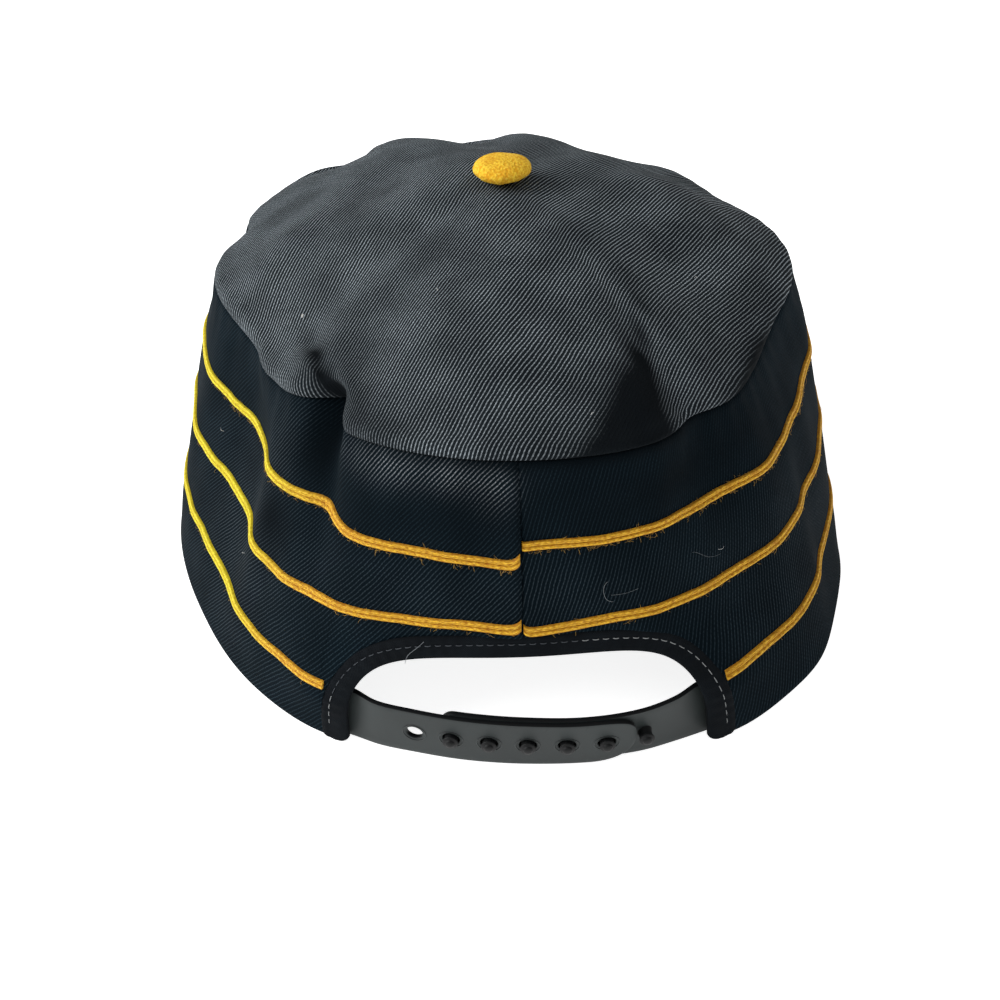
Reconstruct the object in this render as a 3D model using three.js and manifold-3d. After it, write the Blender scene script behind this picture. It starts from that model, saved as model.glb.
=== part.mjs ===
// A pillbox baseball cap as it lies on its rim: a tall upright side wall with three rows of braid,
// a domed top panel with a covered button, an arch at the back closed by a snap strap, and a peak.
// Millimetres. +Y is the back of the cap, where the strap is, -Y the peak, and +Z is up.
// An angle `at` goes round the cap in degrees, from 0 at the centre back towards +X.
// `up` is measured along the cloth from the rim, and `out` away from its outer face.
import * as THREE from "three";
import { mergeVertices } from "three/addons/utils/BufferGeometryUtils.js";
import Module from "manifold-3d";

const wasm = await Module();
wasm.setup();

// Cloth
const CLOTH = 1.5;
const GAP = 0.3;
const WALL_HEIGHT = 73;
const CROWN = { x: 0, y: -0.3, z: 95.2 };
const CROWN_ROUND = 1.4;

// Sections round the cap: how far the rim reaches from the middle, how far the wall leans in, how far
// it bulges at half its height, and how much of that sits in its lower half.
const SECTIONS = [
  { at: 0, reach: 107.7, lean: 13.4, bulge: 0.5, belly: 1.1 },
  { at: 30, reach: 106.7, lean: 19.4, bulge: 3.0, belly: 0.3 },
  { at: 60, reach: 97.6, lean: 22.4, bulge: -2.1, belly: 1.1 },
  { at: 90, reach: 95.7, lean: 15.3, bulge: 1.4, belly: 0.1 },
  { at: 120, reach: 95.8, lean: 13.5, bulge: 4.5, belly: -0.2 },
  { at: 150, reach: 93.8, lean: 10.7, bulge: 1.7, belly: 0.9 },
  { at: 180, reach: 89.4, lean: 14.4, bulge: 1.8, belly: 0.8 },
  { at: 210, reach: 90.4, lean: 19.9, bulge: 1.8, belly: 0.8 },
  { at: 240, reach: 89.5, lean: 16.2, bulge: 1.9, belly: 0.6 },
  { at: 270, reach: 85.7, lean: 9.4, bulge: 2.5, belly: 0.3 },
  { at: 300, reach: 98.6, lean: 20.2, bulge: 1.5, belly: -0.5 },
  { at: 330, reach: 111.5, lean: 19.8, bulge: -2.0, belly: 0.7 },
];

// Folds: each sinks in by `depth` at the seam (a ridge if below 0), is `half` degrees to the side,
// starts at the height `from`, sways by degrees for each mm below the seam, and runs into the top
// panel by the share `reach`.
const FOLDS = [
  { at: 33.7, half: 5.2, depth: 8.9, from: 22, sway: -0.09, reach: 0.26 },
  { at: 53.0, half: 6.6, depth: -5.8, from: 15, sway: -0.12, reach: 0.25 },
  { at: 52.5, half: 5.0, depth: 3.9, from: 12, sway: -0.02, reach: 0.22 },
  { at: 106, half: 5.7, depth: 4.8, from: 40, sway: 0, reach: 0.33 },
  { at: 145.8, half: 5.6, depth: 6.5, from: 40, sway: 0, reach: 0.44 },
  { at: 168.8, half: 5.6, depth: 5.0, from: 30, sway: 0, reach: 0.6 },
  { at: 206, half: 7.1, depth: 2.9, from: 30, sway: 0, reach: 0.3 },
  { at: 235.3, half: 6.2, depth: 4.5, from: 40, sway: 0, reach: 0.2 },
  { at: 290.7, half: 7.6, depth: 1.2, from: 20, sway: -0.04, reach: 0.3 },
  { at: 329, half: 8.1, depth: 4.1, from: 40, sway: 0.02, reach: 0.5 },
];

// Swells and hollows of the top panel: `share` is 0 at the seam and 1 at the button.
const SWELLS = [
  { at: 40, half: 13, share: 0.17, wide: 0.13, height: 4.5 },
  { at: 140, half: 9, share: 0.25, wide: 0.18, height: -3.0 },
  { at: 172, half: 9, share: 0.25, wide: 0.18, height: -3.1 },
  { at: 188, half: 9, share: 0.25, wide: 0.18, height: 1.8 },
  { at: 228, half: 9, share: 0.25, wide: 0.18, height: 2.2 },
  { at: 249, half: 9, share: 0.25, wide: 0.18, height: -1.3 },
  { at: 332, half: 6, share: 0.3, wide: 0.2, height: -4.5 },
];

// Beside the arch the ends of the strap hold the wall out: `foot` at the rim and `rise` more for each
// mm up to `full`, gone at `none`.
const FLARES = [
  { at: 25, half: 8, foot: 1.2, rise: 0.13 },
  { at: 335, half: 8, foot: 1.2, rise: 0.2 },
];
const FLARE = { full: 12, none: 30 };

// Braid: three rows, with the height of the middle line and how far it drops at the centre back.
const BRAIDS = [
  { name: "braid_top", up: 53.6, drop: 3.2, start: 0.5 },
  { name: "braid_middle", up: 35.0, drop: 0, start: 0.5 },
  { name: "braid_bottom", up: 16.2, drop: 0, start: 25.9 },
];
const BRAID_WIDTH = 2.6;
const BRAID_CREST = 1.9;
const BRAID_THICK = 0.9;
const BRAID_GAP = 0.42;
const BRAID_SETTLE = 45;

// Arch at the back, half widths in degrees, and its binding
const ARCH = { half: 22.3, high: 27.4, round: 3.6 };
const BINDING = { half: 26.0, high: 32.5, round: 3.1, proud: 0.3, inner: 0.1 };
const BINDING_GAP = { half: 0.17, high: 0.3 };

// Snap strap: two tongues of moulded plastic
const STRAP = {
  low: 0.4,
  high: 13.7,
  middleHeight: 7.05,
  thick: 1.3,
  tuck: 28.4,
  nose: -24.9,
  pegEnd: 16.0,
  pegNose: 4.0,
  pegRound: 0.8,
};

// The nose of the outer tongue: the height of its tip, and how square its upper and lower corners are.
const NOSE = { tip: 8.2, upper: 0.62, lower: 0.86 };

// The strap's course: how far its foot stands out from the rim, and how far it leans in.
const STRAP_COURSE = [
  { along: -54, out: -0.4, lean: 14.5 },
  { along: -42, out: -0.2, lean: 9.2 },
  { along: -35, out: 0.4, lean: 0 },
  { along: -26, out: 1.6, lean: -4.5 },
  { along: -13, out: 2.1, lean: -7 },
  { along: 0, out: 2.0, lean: -5.5 },
  { along: 13, out: 1.3, lean: -4 },
  { along: 26, out: 0.2, lean: -2.8 },
  { along: 35, out: -0.2, lean: -1 },
  { along: 42, out: -1.0, lean: 4.8 },
  { along: 54, out: -1.1, lean: 6.8 },
];
const MM_PER_DEGREE = 1.9;
const PITCH = 8.8;
const FIRST_HOLE = 25.65;
const HOLES = 6;
const HOLE_RADIUS = 2.3;
const PEG = { radius: 1.6, head: 1.85, long: 3.7, cap: 1.0, sink: 0.6 };

// Button and peak
const BUTTON = { radius: 7.4, high: 5.7, sag: 0.3 };
const PEAK = { from: 122, half: 82, side: -50, front: -156, round: 2.3, thick: 2.6, arc: 6, droop: 4, tuck: 3.0, seat: 0.5 };
const PEAK_BLEND = { full: 60, none: 85 };

const { smoothstep, euclideanModulo, lerp, degToRad, clamp } = THREE.MathUtils;

// Degrees from `mid` to `at`, between -180 and 180.
function turn(at, mid) {
  return euclideanModulo(at - mid + 180, 360) - 180;
}

// One column of the sections table at any angle, on a smooth curve through its rows.
function around(column, at) {
  const rows = SECTIONS.length;
  const place = (euclideanModulo(at, 360) * rows) / 360;
  const row = Math.floor(place);
  const t = place - row;
  const [a, b, c, d] = [-1, 0, 1, 2].map((step) => SECTIONS[euclideanModulo(row + step, rows)][column]);
  return 0.5 * (2 * b + (c - a) * t + (2 * a - 5 * b + 4 * c - d) * t ** 2 + (3 * b - a - 3 * c + d) * t ** 3);
}

// One column of the strap's course at any place along it, on a smooth curve through its rows.
function course(column, along) {
  const rows = STRAP_COURSE;
  const last = rows.length - 1;
  const next = rows.findIndex((row) => row.along > along);
  const i = next < 0 ? last - 1 : Math.max(next - 1, 0);
  const slope = (n) => {
    const [from, to] = [rows[Math.max(n - 1, 0)], rows[Math.min(n + 1, last)]];
    return (to[column] - from[column]) / (to.along - from.along);
  };
  const span = rows[i + 1].along - rows[i].along;
  const t = clamp((along - rows[i].along) / span, 0, 1);
  return (
    rows[i][column] * (1 + 2 * t) * (1 - t) ** 2 +
    rows[i + 1][column] * t * t * (3 - 2 * t) +
    span * (slope(i) * t * (1 - t) ** 2 - slope(i + 1) * t * t * (1 - t))
  );
}

function rim(at) {
  const reach = around("reach", at);
  return new THREE.Vector2(reach * Math.sin(degToRad(at)), reach * Math.cos(degToRad(at)));
}

// The level direction away from the cap, square to a curve that goes round it.
function outward(curve, at) {
  const along = curve(at + 0.4).sub(curve(at - 0.4)).normalize();
  return new THREE.Vector2(-along.y, along.x);
}

function foldDepth(fold, at, up) {
  const middle = fold.at + fold.sway * (WALL_HEIGHT - up);
  const side = turn(at, middle) / fold.half;
  return fold.depth * Math.exp(-(side ** 2)) * smoothstep(up, fold.from, WALL_HEIGHT);
}

function flareOut(flare, at, up) {
  const side = turn(at, flare.at) / flare.half;
  const out = flare.foot + flare.rise * Math.min(up, FLARE.full);
  return out * Math.exp(-(side ** 2)) * (1 - smoothstep(up, FLARE.full, FLARE.none));
}

// The wall's outer face at one height, seen from above.
function level(at, up, folds) {
  const lean = up * Math.sin(degToRad(around("lean", at)));
  const rise = (Math.PI * clamp(up, 0, WALL_HEIGHT)) / WALL_HEIGHT;
  const bulge = around("bulge", at) * Math.sin(rise) + around("belly", at) * Math.sin(2 * rise);
  const flare = FLARES.reduce((sum, row) => sum + flareOut(row, at, up), 0);
  const dent = folds.reduce((sum, fold) => sum + foldDepth(fold, at, up), 0);
  return rim(at).addScaledVector(outward(rim, at), bulge + flare - lean - dent);
}

// The peak arches from side to side, and the front of the rim stands on it.
function peakArc(x) {
  return PEAK.arc * (1 - (x / PEAK.half) ** 2);
}

function rimLift(at) {
  const away = Math.abs(turn(at, 180));
  const share = 1 - smoothstep(away, PEAK_BLEND.full, PEAK_BLEND.none);
  return share * (peakArc(rim(at).x) + PEAK.thick + PEAK.seat);
}

function wallPoint(at, up, out, folds = FOLDS) {
  const flat = level(at, up, folds);
  if (out !== 0) flat.addScaledVector(outward((a) => level(a, up, folds), at), out);
  const height = up * Math.cos(degToRad(around("lean", at))) + rimLift(at) * (1 - (0.35 * up) / WALL_HEIGHT);
  return new THREE.Vector3(flat.x, flat.y, height);
}

// The top panel's outer face: `share` runs from the seam, 0, to the button, 1.
function panelPoint(at, share) {
  const start = WALL_HEIGHT + GAP;
  const edge = wallPoint(at, start, 0, []);
  const shrink = Math.cos((share * Math.PI) / 2) ** CROWN_ROUND;
  const rise = Math.sin((share * Math.PI) / 2) ** CROWN_ROUND;
  const point = new THREE.Vector3(
    lerp(CROWN.x, edge.x, shrink),
    lerp(CROWN.y, edge.y, shrink),
    lerp(edge.z, CROWN.z, rise),
  );
  const away = outward((a) => level(a, start, []), at);
  for (const fold of FOLDS) {
    const dent = foldDepth(fold, at, start) * (1 - smoothstep(share, 0, fold.reach));
    point.x -= away.x * dent;
    point.y -= away.y * dent;
  }
  for (const swell of SWELLS) {
    const side = turn(at, swell.at) / swell.half;
    const along = (share - swell.share) / swell.wide;
    point.z += swell.height * Math.exp(-(side ** 2) - along ** 2) * smoothstep(share, 0, 0.16);
  }
  return point;
}

// Inside face of the panel: a cloth's thickness in from the outer one, level at the seam.
function panelInside(at, share) {
  const step = 0.02;
  const here = panelPoint(at, share);
  const edge = outward((a) => level(a, WALL_HEIGHT + GAP, FOLDS), at);
  const seamNormal = new THREE.Vector3(edge.x, edge.y, 0);
  if (share > 1 - step) return here.addScaledVector(new THREE.Vector3(0, 0, 1), -CLOTH);
  const along = panelPoint(at + 1, share).sub(panelPoint(at - 1, share));
  const inward = panelPoint(at, share + step).sub(panelPoint(at, Math.max(share - step, 0)));
  const normal = inward.cross(along).normalize();
  normal.lerpVectors(seamNormal, normal, smoothstep(share, 0, 0.24)).normalize();
  return here.addScaledVector(normal, -CLOTH);
}

// A flat sheet of points and triangles. `closed` joins its last column to its first.
function gridSheet(columns, rows, closed = false) {
  const points = columns.flatMap((u) => rows.map((v) => [u, v]));
  const triangles = [];
  const last = closed ? columns.length : columns.length - 1;
  for (let i = 0; i < last; i++) {
    for (let j = 0; j < rows.length - 1; j++) {
      const a = i * rows.length + j;
      const b = ((i + 1) % columns.length) * rows.length + j;
      triangles.push([a, a + 1, b + 1], [a, b + 1, b]);
    }
  }
  return { points, triangles };
}

function joinSheets(sheets) {
  const joined = { points: [], triangles: [] };
  for (const sheet of sheets) {
    const first = joined.points.length;
    joined.points.push(...sheet.points);
    joined.triangles.push(...sheet.triangles.map((corners) => corners.map((n) => n + first)));
  }
  return weld(joined);
}

// Makes one point of those that lie together, so that the sheets of a strap share their edges.
function weld(sheet) {
  const seen = new Map();
  const points = [];
  const place = sheet.points.map(([u, v]) => {
    const key = `${u.toFixed(4)},${v.toFixed(4)}`;
    if (!seen.has(key)) {
      seen.set(key, points.length);
      points.push([u, v]);
    }
    return seen.get(key);
  });
  const triangles = sheet.triangles.map((corners) => corners.map((n) => place[n]));
  return { points, triangles: triangles.filter(([a, b, c]) => a !== b && b !== c && c !== a) };
}

// Closes a sheet into a solid: its outer face, its inner face, and a strip along each open edge.
function solidFrom(sheet, outer, inner) {
  const count = sheet.points.length;
  const faces = [outer, inner].flatMap((face) => sheet.points.map(([u, v]) => face(u, v)));
  const index = [];
  const edges = new Map();
  for (const [a, b, c] of sheet.triangles) {
    index.push(a, b, c, a + count, c + count, b + count);
    for (const [from, to] of [[a, b], [b, c], [c, a]]) edges.set(`${from},${to}`, [from, to]);
  }
  for (const [from, to] of edges.values()) {
    if (edges.has(`${to},${from}`)) continue;
    index.push(from, from + count, to + count, from, to + count, to);
  }
  return closedGeometry(faces, index);
}

// Welds points that lie together and drops the triangles that collapse at a pole.
function closedGeometry(points, index) {
  const raw = new THREE.BufferGeometry();
  raw.setAttribute("position", new THREE.Float32BufferAttribute(points.flatMap((p) => p.toArray()), 3));
  raw.setIndex(index);
  const geometry = mergeVertices(raw, 1e-4);
  const kept = [];
  const all = geometry.index.array;
  for (let n = 0; n < all.length; n += 3) {
    const [a, b, c] = all.slice(n, n + 3);
    if (a !== b && b !== c && c !== a) kept.push(a, b, c);
  }
  geometry.setIndex(kept);
  return geometry;
}

function toManifold(geometry) {
  const bare = new THREE.BufferGeometry();
  bare.setAttribute("position", geometry.attributes.position);
  bare.setIndex(geometry.index);
  const welded = mergeVertices(bare, 1e-4);
  const mesh = new wasm.Mesh({
    numProp: 3,
    vertProperties: new Float32Array(welded.attributes.position.array),
    triVerts: new Uint32Array(welded.index.array),
  });
  return new wasm.Manifold(mesh);
}

function union(geometries) {
  const mesh = geometries.map(toManifold).reduce((sum, next) => sum.add(next)).getMesh();
  const geometry = new THREE.BufferGeometry();
  geometry.setAttribute("position", new THREE.Float32BufferAttribute(Array.from(mesh.vertProperties), 3));
  geometry.setIndex(Array.from(mesh.triVerts));
  return geometry;
}

function steps(from, to, count) {
  return Array.from({ length: count + 1 }, (_, n) => lerp(from, to, n / count));
}

// Half of the binding's outer edge as angles, bunched where its legs are steep.
function archAngles(half, count) {
  return steps(0, Math.PI / 2, count).map((phi) => half * Math.sin(phi) ** (2 / BINDING.round));
}

function archHeight(at, half, high) {
  const share = Math.min(Math.abs(turn(at, 0)) / half, 1);
  return high * (1 - share ** BINDING.round) ** (1 / BINDING.round);
}

// Columns beside and before the arch, which the wall and the top panel share along their seam.
function sharedColumns() {
  const half = BINDING.half + BINDING_GAP.half;
  const right = steps(half, 70, 22);
  const front = steps(70, 320, 50).slice(1);
  const left = steps(320, 360 - half, 4).slice(1);
  return [...right, ...front, ...left];
}

// Columns round the cap, bunched over the legs of the arch.
function wallColumns() {
  const half = BINDING.half + BINDING_GAP.half;
  const arch = archAngles(half, 12).slice(0, -1);
  const back = archAngles(half, 12).reverse().slice(1, -1).map((at) => 360 - at);
  return [...arch, ...sharedColumns(), ...back];
}

function sideWall() {
  const half = BINDING.half + BINDING_GAP.half;
  const high = BINDING.high + BINDING_GAP.high;
  const upAt = (at, share) => lerp(archHeight(at, half, high), WALL_HEIGHT, share);
  const sheet = gridSheet(wallColumns(), steps(0, 1, 7), true);
  return solidFrom(
    sheet,
    (at, share) => wallPoint(at, upAt(at, share), 0),
    (at, share) => wallPoint(at, upAt(at, share), -CLOTH),
  );
}

function topPanel() {
  const half = BINDING.half + BINDING_GAP.half;
  const columns = [...sharedColumns(), ...steps(360 - half, 360 + half, 8).slice(1, -1)];
  const rows = [0, 0.035, 0.09, 0.16, 0.25, 0.36, 0.52, 0.74, 1];
  return solidFrom(gridSheet(columns, rows, true), panelPoint, panelInside);
}

function braidHeight(braid, at) {
  const fromBack = euclideanModulo(at, 360);
  return braid.up - braid.drop * (1 - smoothstep(fromBack, 0, BRAID_SETTLE));
}

function braidRow(braid) {
  const columns = [braid.start, ...wallColumns().filter((at) => at > braid.start + 1 && at < 359 - braid.start)];
  columns.push(360 - braid.start);
  const section = [
    [-BRAID_WIDTH / 2, BRAID_GAP],
    [BRAID_WIDTH / 2, BRAID_GAP],
    [BRAID_CREST / 2, BRAID_GAP + BRAID_THICK],
    [-BRAID_CREST / 2, BRAID_GAP + BRAID_THICK],
  ];
  const points = columns.flatMap((at) =>
    section.map(([across, out]) => wallPoint(at, braidHeight(braid, at) + across, out)),
  );
  const index = [0, 1, 2, 0, 2, 3];
  const end = points.length - 4;
  index.push(end, end + 2, end + 1, end, end + 3, end + 2);
  for (let i = 0; i < columns.length - 1; i++) {
    for (let k = 0; k < 4; k++) {
      const a = i * 4 + k;
      const b = i * 4 + ((k + 1) % 4);
      index.push(a, b + 4, b, a, a + 4, b + 4);
    }
  }
  return closedGeometry(points, index);
}

function archBinding() {
  const edge = (arch, phi) => [
    arch.half * Math.sign(Math.sin(phi)) * Math.abs(Math.sin(phi)) ** (2 / arch.round),
    arch.high * Math.max(Math.cos(phi), 0) ** (2 / arch.round),
  ];
  const outline = (phi, share) => {
    const [from, to] = [edge(ARCH, phi), edge(BINDING, phi)];
    return [lerp(from[0], to[0], share), lerp(from[1], to[1], share)];
  };
  const sheet = gridSheet(steps(-Math.PI / 2, Math.PI / 2, 36), [0, 0.5, 1]);
  const face = (out) => (phi, share) => wallPoint(...outline(phi, share), out);
  return solidFrom(sheet, face(BINDING.proud), face(-CLOTH - BINDING.inner));
}

// A point of the strap: `along` runs in mm from the centre back towards +X, `z` is its height.
function strapPoint(along, z, behind) {
  const at = along / MM_PER_DEGREE;
  const lean = degToRad(course("lean", along));
  const out = course("out", along) - behind - (z - STRAP.low) * Math.tan(lean);
  const point = rim(at).addScaledVector(outward(rim, at), out);
  return new THREE.Vector3(point.x, point.y, z);
}

// A strap cell with a round hole: its outline and the hole have the same count of points, joined one to one.
function holedCell(outline, centre) {
  const count = outline.length;
  const ring = outline.map((_, n) => {
    const angle = ((n / count) * 2 - 0.25) * Math.PI;
    return [centre + HOLE_RADIUS * Math.cos(angle), STRAP.middleHeight + HOLE_RADIUS * Math.sin(angle)];
  });
  const triangles = outline.flatMap((_, n) => {
    const next = (n + 1) % count;
    return [[n, next + count, next], [n, n + count, next + count]];
  });
  return { points: [...outline, ...ring], triangles };
}

function middleCell(centre) {
  const from = centre - PITCH / 2;
  const to = centre + PITCH / 2;
  const side = steps(0, 1, 4).slice(0, 4);
  const outline = [
    ...side.map((t) => [to, lerp(STRAP.low, STRAP.high, t)]),
    ...side.map((t) => [lerp(to, from, t), STRAP.high]),
    ...side.map((t) => [from, lerp(STRAP.high, STRAP.low, t)]),
    ...side.map((t) => [lerp(from, to, t), STRAP.low]),
  ];
  return holedCell(outline, centre);
}

// The last cell ends in a rounded nose.
function noseCell(centre) {
  const to = centre + PITCH / 2;
  const side = steps(0, 1, 4).slice(0, 4).map((t) => [to, lerp(STRAP.low, STRAP.high, t)]);
  const nose = steps(0, Math.PI, 12).slice(0, 12).map((phi) => {
    const [edge, power] = phi < Math.PI / 2 ? [STRAP.high, NOSE.upper] : [STRAP.low, NOSE.lower];
    return [
      to - (to - STRAP.nose) * Math.sin(phi) ** power,
      lerp(NOSE.tip, edge, Math.abs(Math.cos(phi)) ** power),
    ];
  });
  return holedCell([...side, ...nose], centre);
}

function plainCell(from, to, columns) {
  return gridSheet(steps(from, to, columns), steps(STRAP.low, STRAP.high, 4));
}

// The rounded end of the peg tongue, narrowing to one point.
function tongueEnd() {
  const sheet = gridSheet(steps(0, Math.PI / 2, 5), steps(-1, 1, 4));
  const half = (STRAP.high - STRAP.low) / 2;
  sheet.points = sheet.points.map(([phi, v]) => {
    const width = Math.max(Math.cos(phi), 0) ** STRAP.pegRound;
    return [STRAP.pegEnd + STRAP.pegNose * Math.sin(phi), STRAP.middleHeight + half * v * width];
  });
  return sheet;
}

function holeCentres() {
  return Array.from({ length: HOLES }, (_, n) => FIRST_HOLE - n * PITCH);
}

function holeStrap() {
  const centres = holeCentres();
  const root = plainCell(centres[0] + PITCH / 2, STRAP.tuck * MM_PER_DEGREE, 7);
  const sheet = joinSheets([root, ...centres.slice(0, -1).map(middleCell), noseCell(centres.at(-1))]);
  return solidFrom(
    sheet,
    (s, z) => strapPoint(s, z, 0),
    (s, z) => strapPoint(s, z, STRAP.thick),
  );
}

// A moulded peg with a wider rounded head, standing out from the inner tongue.
function peg(along) {
  const behind = STRAP.thick + GAP;
  const base = strapPoint(along, STRAP.middleHeight, behind);
  const tip = strapPoint(along, STRAP.middleHeight, 0);
  const profile = [
    [0, -PEG.sink],
    [PEG.radius, -PEG.sink],
    [PEG.radius, PEG.long - PEG.cap - 0.5],
    [PEG.head, PEG.long - PEG.cap],
    [PEG.head * 0.75, PEG.long - PEG.cap * 0.3],
    [0, PEG.long],
  ];
  const lathe = new THREE.LatheGeometry(profile.map(([r, h]) => new THREE.Vector2(r, h)), 12);
  const turned = new THREE.Quaternion().setFromUnitVectors(new THREE.Vector3(0, 1, 0), tip.sub(base).normalize());
  lathe.applyQuaternion(turned);
  lathe.translate(base.x, base.y, base.z);
  return lathe;
}

function pegStrap() {
  const behind = STRAP.thick + GAP;
  const centres = holeCentres().slice(1);
  const spare = centres.at(-1) - PITCH;
  const sheet = joinSheets([plainCell(-STRAP.tuck * MM_PER_DEGREE, STRAP.pegEnd, 22), tongueEnd()]);
  const band = solidFrom(
    sheet,
    (s, z) => strapPoint(s, z, behind),
    (s, z) => strapPoint(s, z, behind + STRAP.thick),
  );
  return union([band, ...[...centres, spare].map(peg)]);
}

function button() {
  const dome = steps(0, Math.PI / 2, 6).map((phi) => {
    const radius = BUTTON.radius * Math.cos(phi) ** 0.8;
    return new THREE.Vector2(radius, 1.2 + (BUTTON.high - 1.2) * Math.sin(phi) ** 0.9);
  });
  const base = [new THREE.Vector2(0, 0), new THREE.Vector2(BUTTON.radius - 0.6, -BUTTON.sag)];
  dome[dome.length - 1].x = 0;
  const lathe = new THREE.LatheGeometry([...base, ...dome], 24);
  lathe.rotateX(Math.PI / 2);
  lathe.translate(CROWN.x, CROWN.y, CROWN.z + GAP);
  return lathe;
}

// The peak: a curved board from just inside the front of the rim to its rounded outer edge.
function peak() {
  const across = steps(-1, 1, 28);
  const plan = (u, v) => {
    const at = 180 - u * (180 - PEAK.from);
    const inner = rim(at).addScaledVector(outward(rim, at), -PEAK.tuck);
    const phi = (u * Math.PI) / 2;
    const power = 2 / PEAK.round;
    const outer = new THREE.Vector2(
      PEAK.half * Math.sign(phi) * Math.abs(Math.sin(phi)) ** power,
      lerp(PEAK.side, PEAK.front, Math.max(Math.cos(phi), 0) ** power),
    );
    return inner.lerp(outer, v);
  };
  const face = (high) => (u, v) => {
    const point = plan(u, v);
    const ahead = Math.max(rim(180).y - point.y, 0) / (rim(180).y - PEAK.front);
    return new THREE.Vector3(point.x, point.y, peakArc(point.x) - PEAK.droop * ahead ** 2 + high);
  };
  return solidFrom(gridSheet(across, [0, 0.12, 0.4, 0.7, 1]), face(PEAK.thick), face(0));
}

const black = { color: 0x15171b, roughness: 0.95, metalness: 0 };
const MATERIALS = {
  panelCloth: new THREE.MeshStandardMaterial({ color: 0x2c2e33, roughness: 0.95, metalness: 0 }),
  wallCloth: new THREE.MeshStandardMaterial(black),
  bindingCloth: new THREE.MeshStandardMaterial({ ...black, color: 0x101318 }),
  peakCloth: new THREE.MeshStandardMaterial({ ...black, color: 0x17191e }),
  braid: new THREE.MeshStandardMaterial({ color: 0xe0a51e, roughness: 0.7, metalness: 0 }),
  button: new THREE.MeshStandardMaterial({ color: 0xf2b632, roughness: 0.9, metalness: 0 }),
  plastic: new THREE.MeshStandardMaterial({ color: 0x4b5152, roughness: 0.4, metalness: 0 }),
};

const cap = new THREE.Group();

function add(name, geometry, material) {
  geometry.computeVertexNormals();
  const mesh = new THREE.Mesh(geometry, material.clone());
  mesh.name = name;
  cap.add(mesh);
}

add("side_wall", sideWall(), MATERIALS.wallCloth);
add("top_panel", topPanel(), MATERIALS.panelCloth);
for (const braid of BRAIDS) add(braid.name, braidRow(braid), MATERIALS.braid);
add("arch_binding", archBinding(), MATERIALS.bindingCloth);
add("hole_strap", holeStrap(), MATERIALS.plastic);
add("peg_strap", pegStrap(), MATERIALS.plastic);
add("button", button(), MATERIALS.button);
add("peak", peak(), MATERIALS.peakCloth);

// The origin is under the middle of the whole cap, on the surface that it lies on.
const box = new THREE.Box3().setFromObject(cap, true);
const middle = box.getCenter(new THREE.Vector3());
cap.position.set(-middle.x, -middle.y, -box.min.z);

export default cap;
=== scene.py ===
# The pillbox cap dressed for rendering. Shapes are worked out in millimetres from the same tables as
# the part's source, then placed in metres in the shared frame.
import math
from types import SimpleNamespace as Record

import bpy
import numpy as np
from numpy import arange, array, clip, concatenate, cos, linspace, pi, radians, sin, stack
from mathutils import Matrix, Vector


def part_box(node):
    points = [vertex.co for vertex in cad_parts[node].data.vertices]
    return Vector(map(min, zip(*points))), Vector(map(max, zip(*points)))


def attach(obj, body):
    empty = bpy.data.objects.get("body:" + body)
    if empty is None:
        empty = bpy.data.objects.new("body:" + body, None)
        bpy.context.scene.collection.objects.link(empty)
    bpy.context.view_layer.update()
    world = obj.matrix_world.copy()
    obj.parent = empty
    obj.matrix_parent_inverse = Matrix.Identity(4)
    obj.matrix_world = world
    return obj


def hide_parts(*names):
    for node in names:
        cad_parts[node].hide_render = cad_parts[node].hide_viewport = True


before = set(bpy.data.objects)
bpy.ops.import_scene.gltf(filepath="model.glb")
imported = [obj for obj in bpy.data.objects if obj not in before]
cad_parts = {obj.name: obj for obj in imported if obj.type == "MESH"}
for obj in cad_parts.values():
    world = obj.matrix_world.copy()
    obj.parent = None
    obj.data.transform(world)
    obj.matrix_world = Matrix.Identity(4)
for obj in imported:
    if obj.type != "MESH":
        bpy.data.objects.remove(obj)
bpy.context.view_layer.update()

MM = 0.001


def table(columns, *rows):
    """Rows of values by the names of their columns."""
    return [Record(**dict(zip(columns.split(), row))) for row in rows]


# Cloth, as in the part's source
CLOTH = 1.5
GAP = 0.3
WALL_HEIGHT = 73.0
# Share of the rim's lift over the peak that is lost by the top of the wall
LIFT_LOST = 0.35
CROWN = array([0.0, -0.3, 95.2])
CROWN_ROUND = 1.4

# Sections round the cap: angle from the centre back, reach of the rim, lean of the wall, how far it
# bulges at half its height, and how much of that sits in its lower half
SECTIONS = table(
    "at reach lean bulge belly",
    (0, 107.7, 13.4, 0.5, 1.1),
    (30, 106.7, 19.4, 3.0, 0.3),
    (60, 97.6, 22.4, -2.1, 1.1),
    (90, 95.7, 15.3, 1.4, 0.1),
    (120, 95.8, 13.5, 4.5, -0.2),
    (150, 93.8, 10.7, 1.7, 0.9),
    (180, 89.4, 14.4, 1.8, 0.8),
    (210, 90.4, 19.9, 1.8, 0.8),
    (240, 89.5, 16.2, 1.9, 0.6),
    (270, 85.7, 9.4, 2.5, 0.3),
    (300, 98.6, 20.2, 1.5, -0.5),
    (330, 111.5, 19.8, -2.0, 0.7),
)

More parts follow.
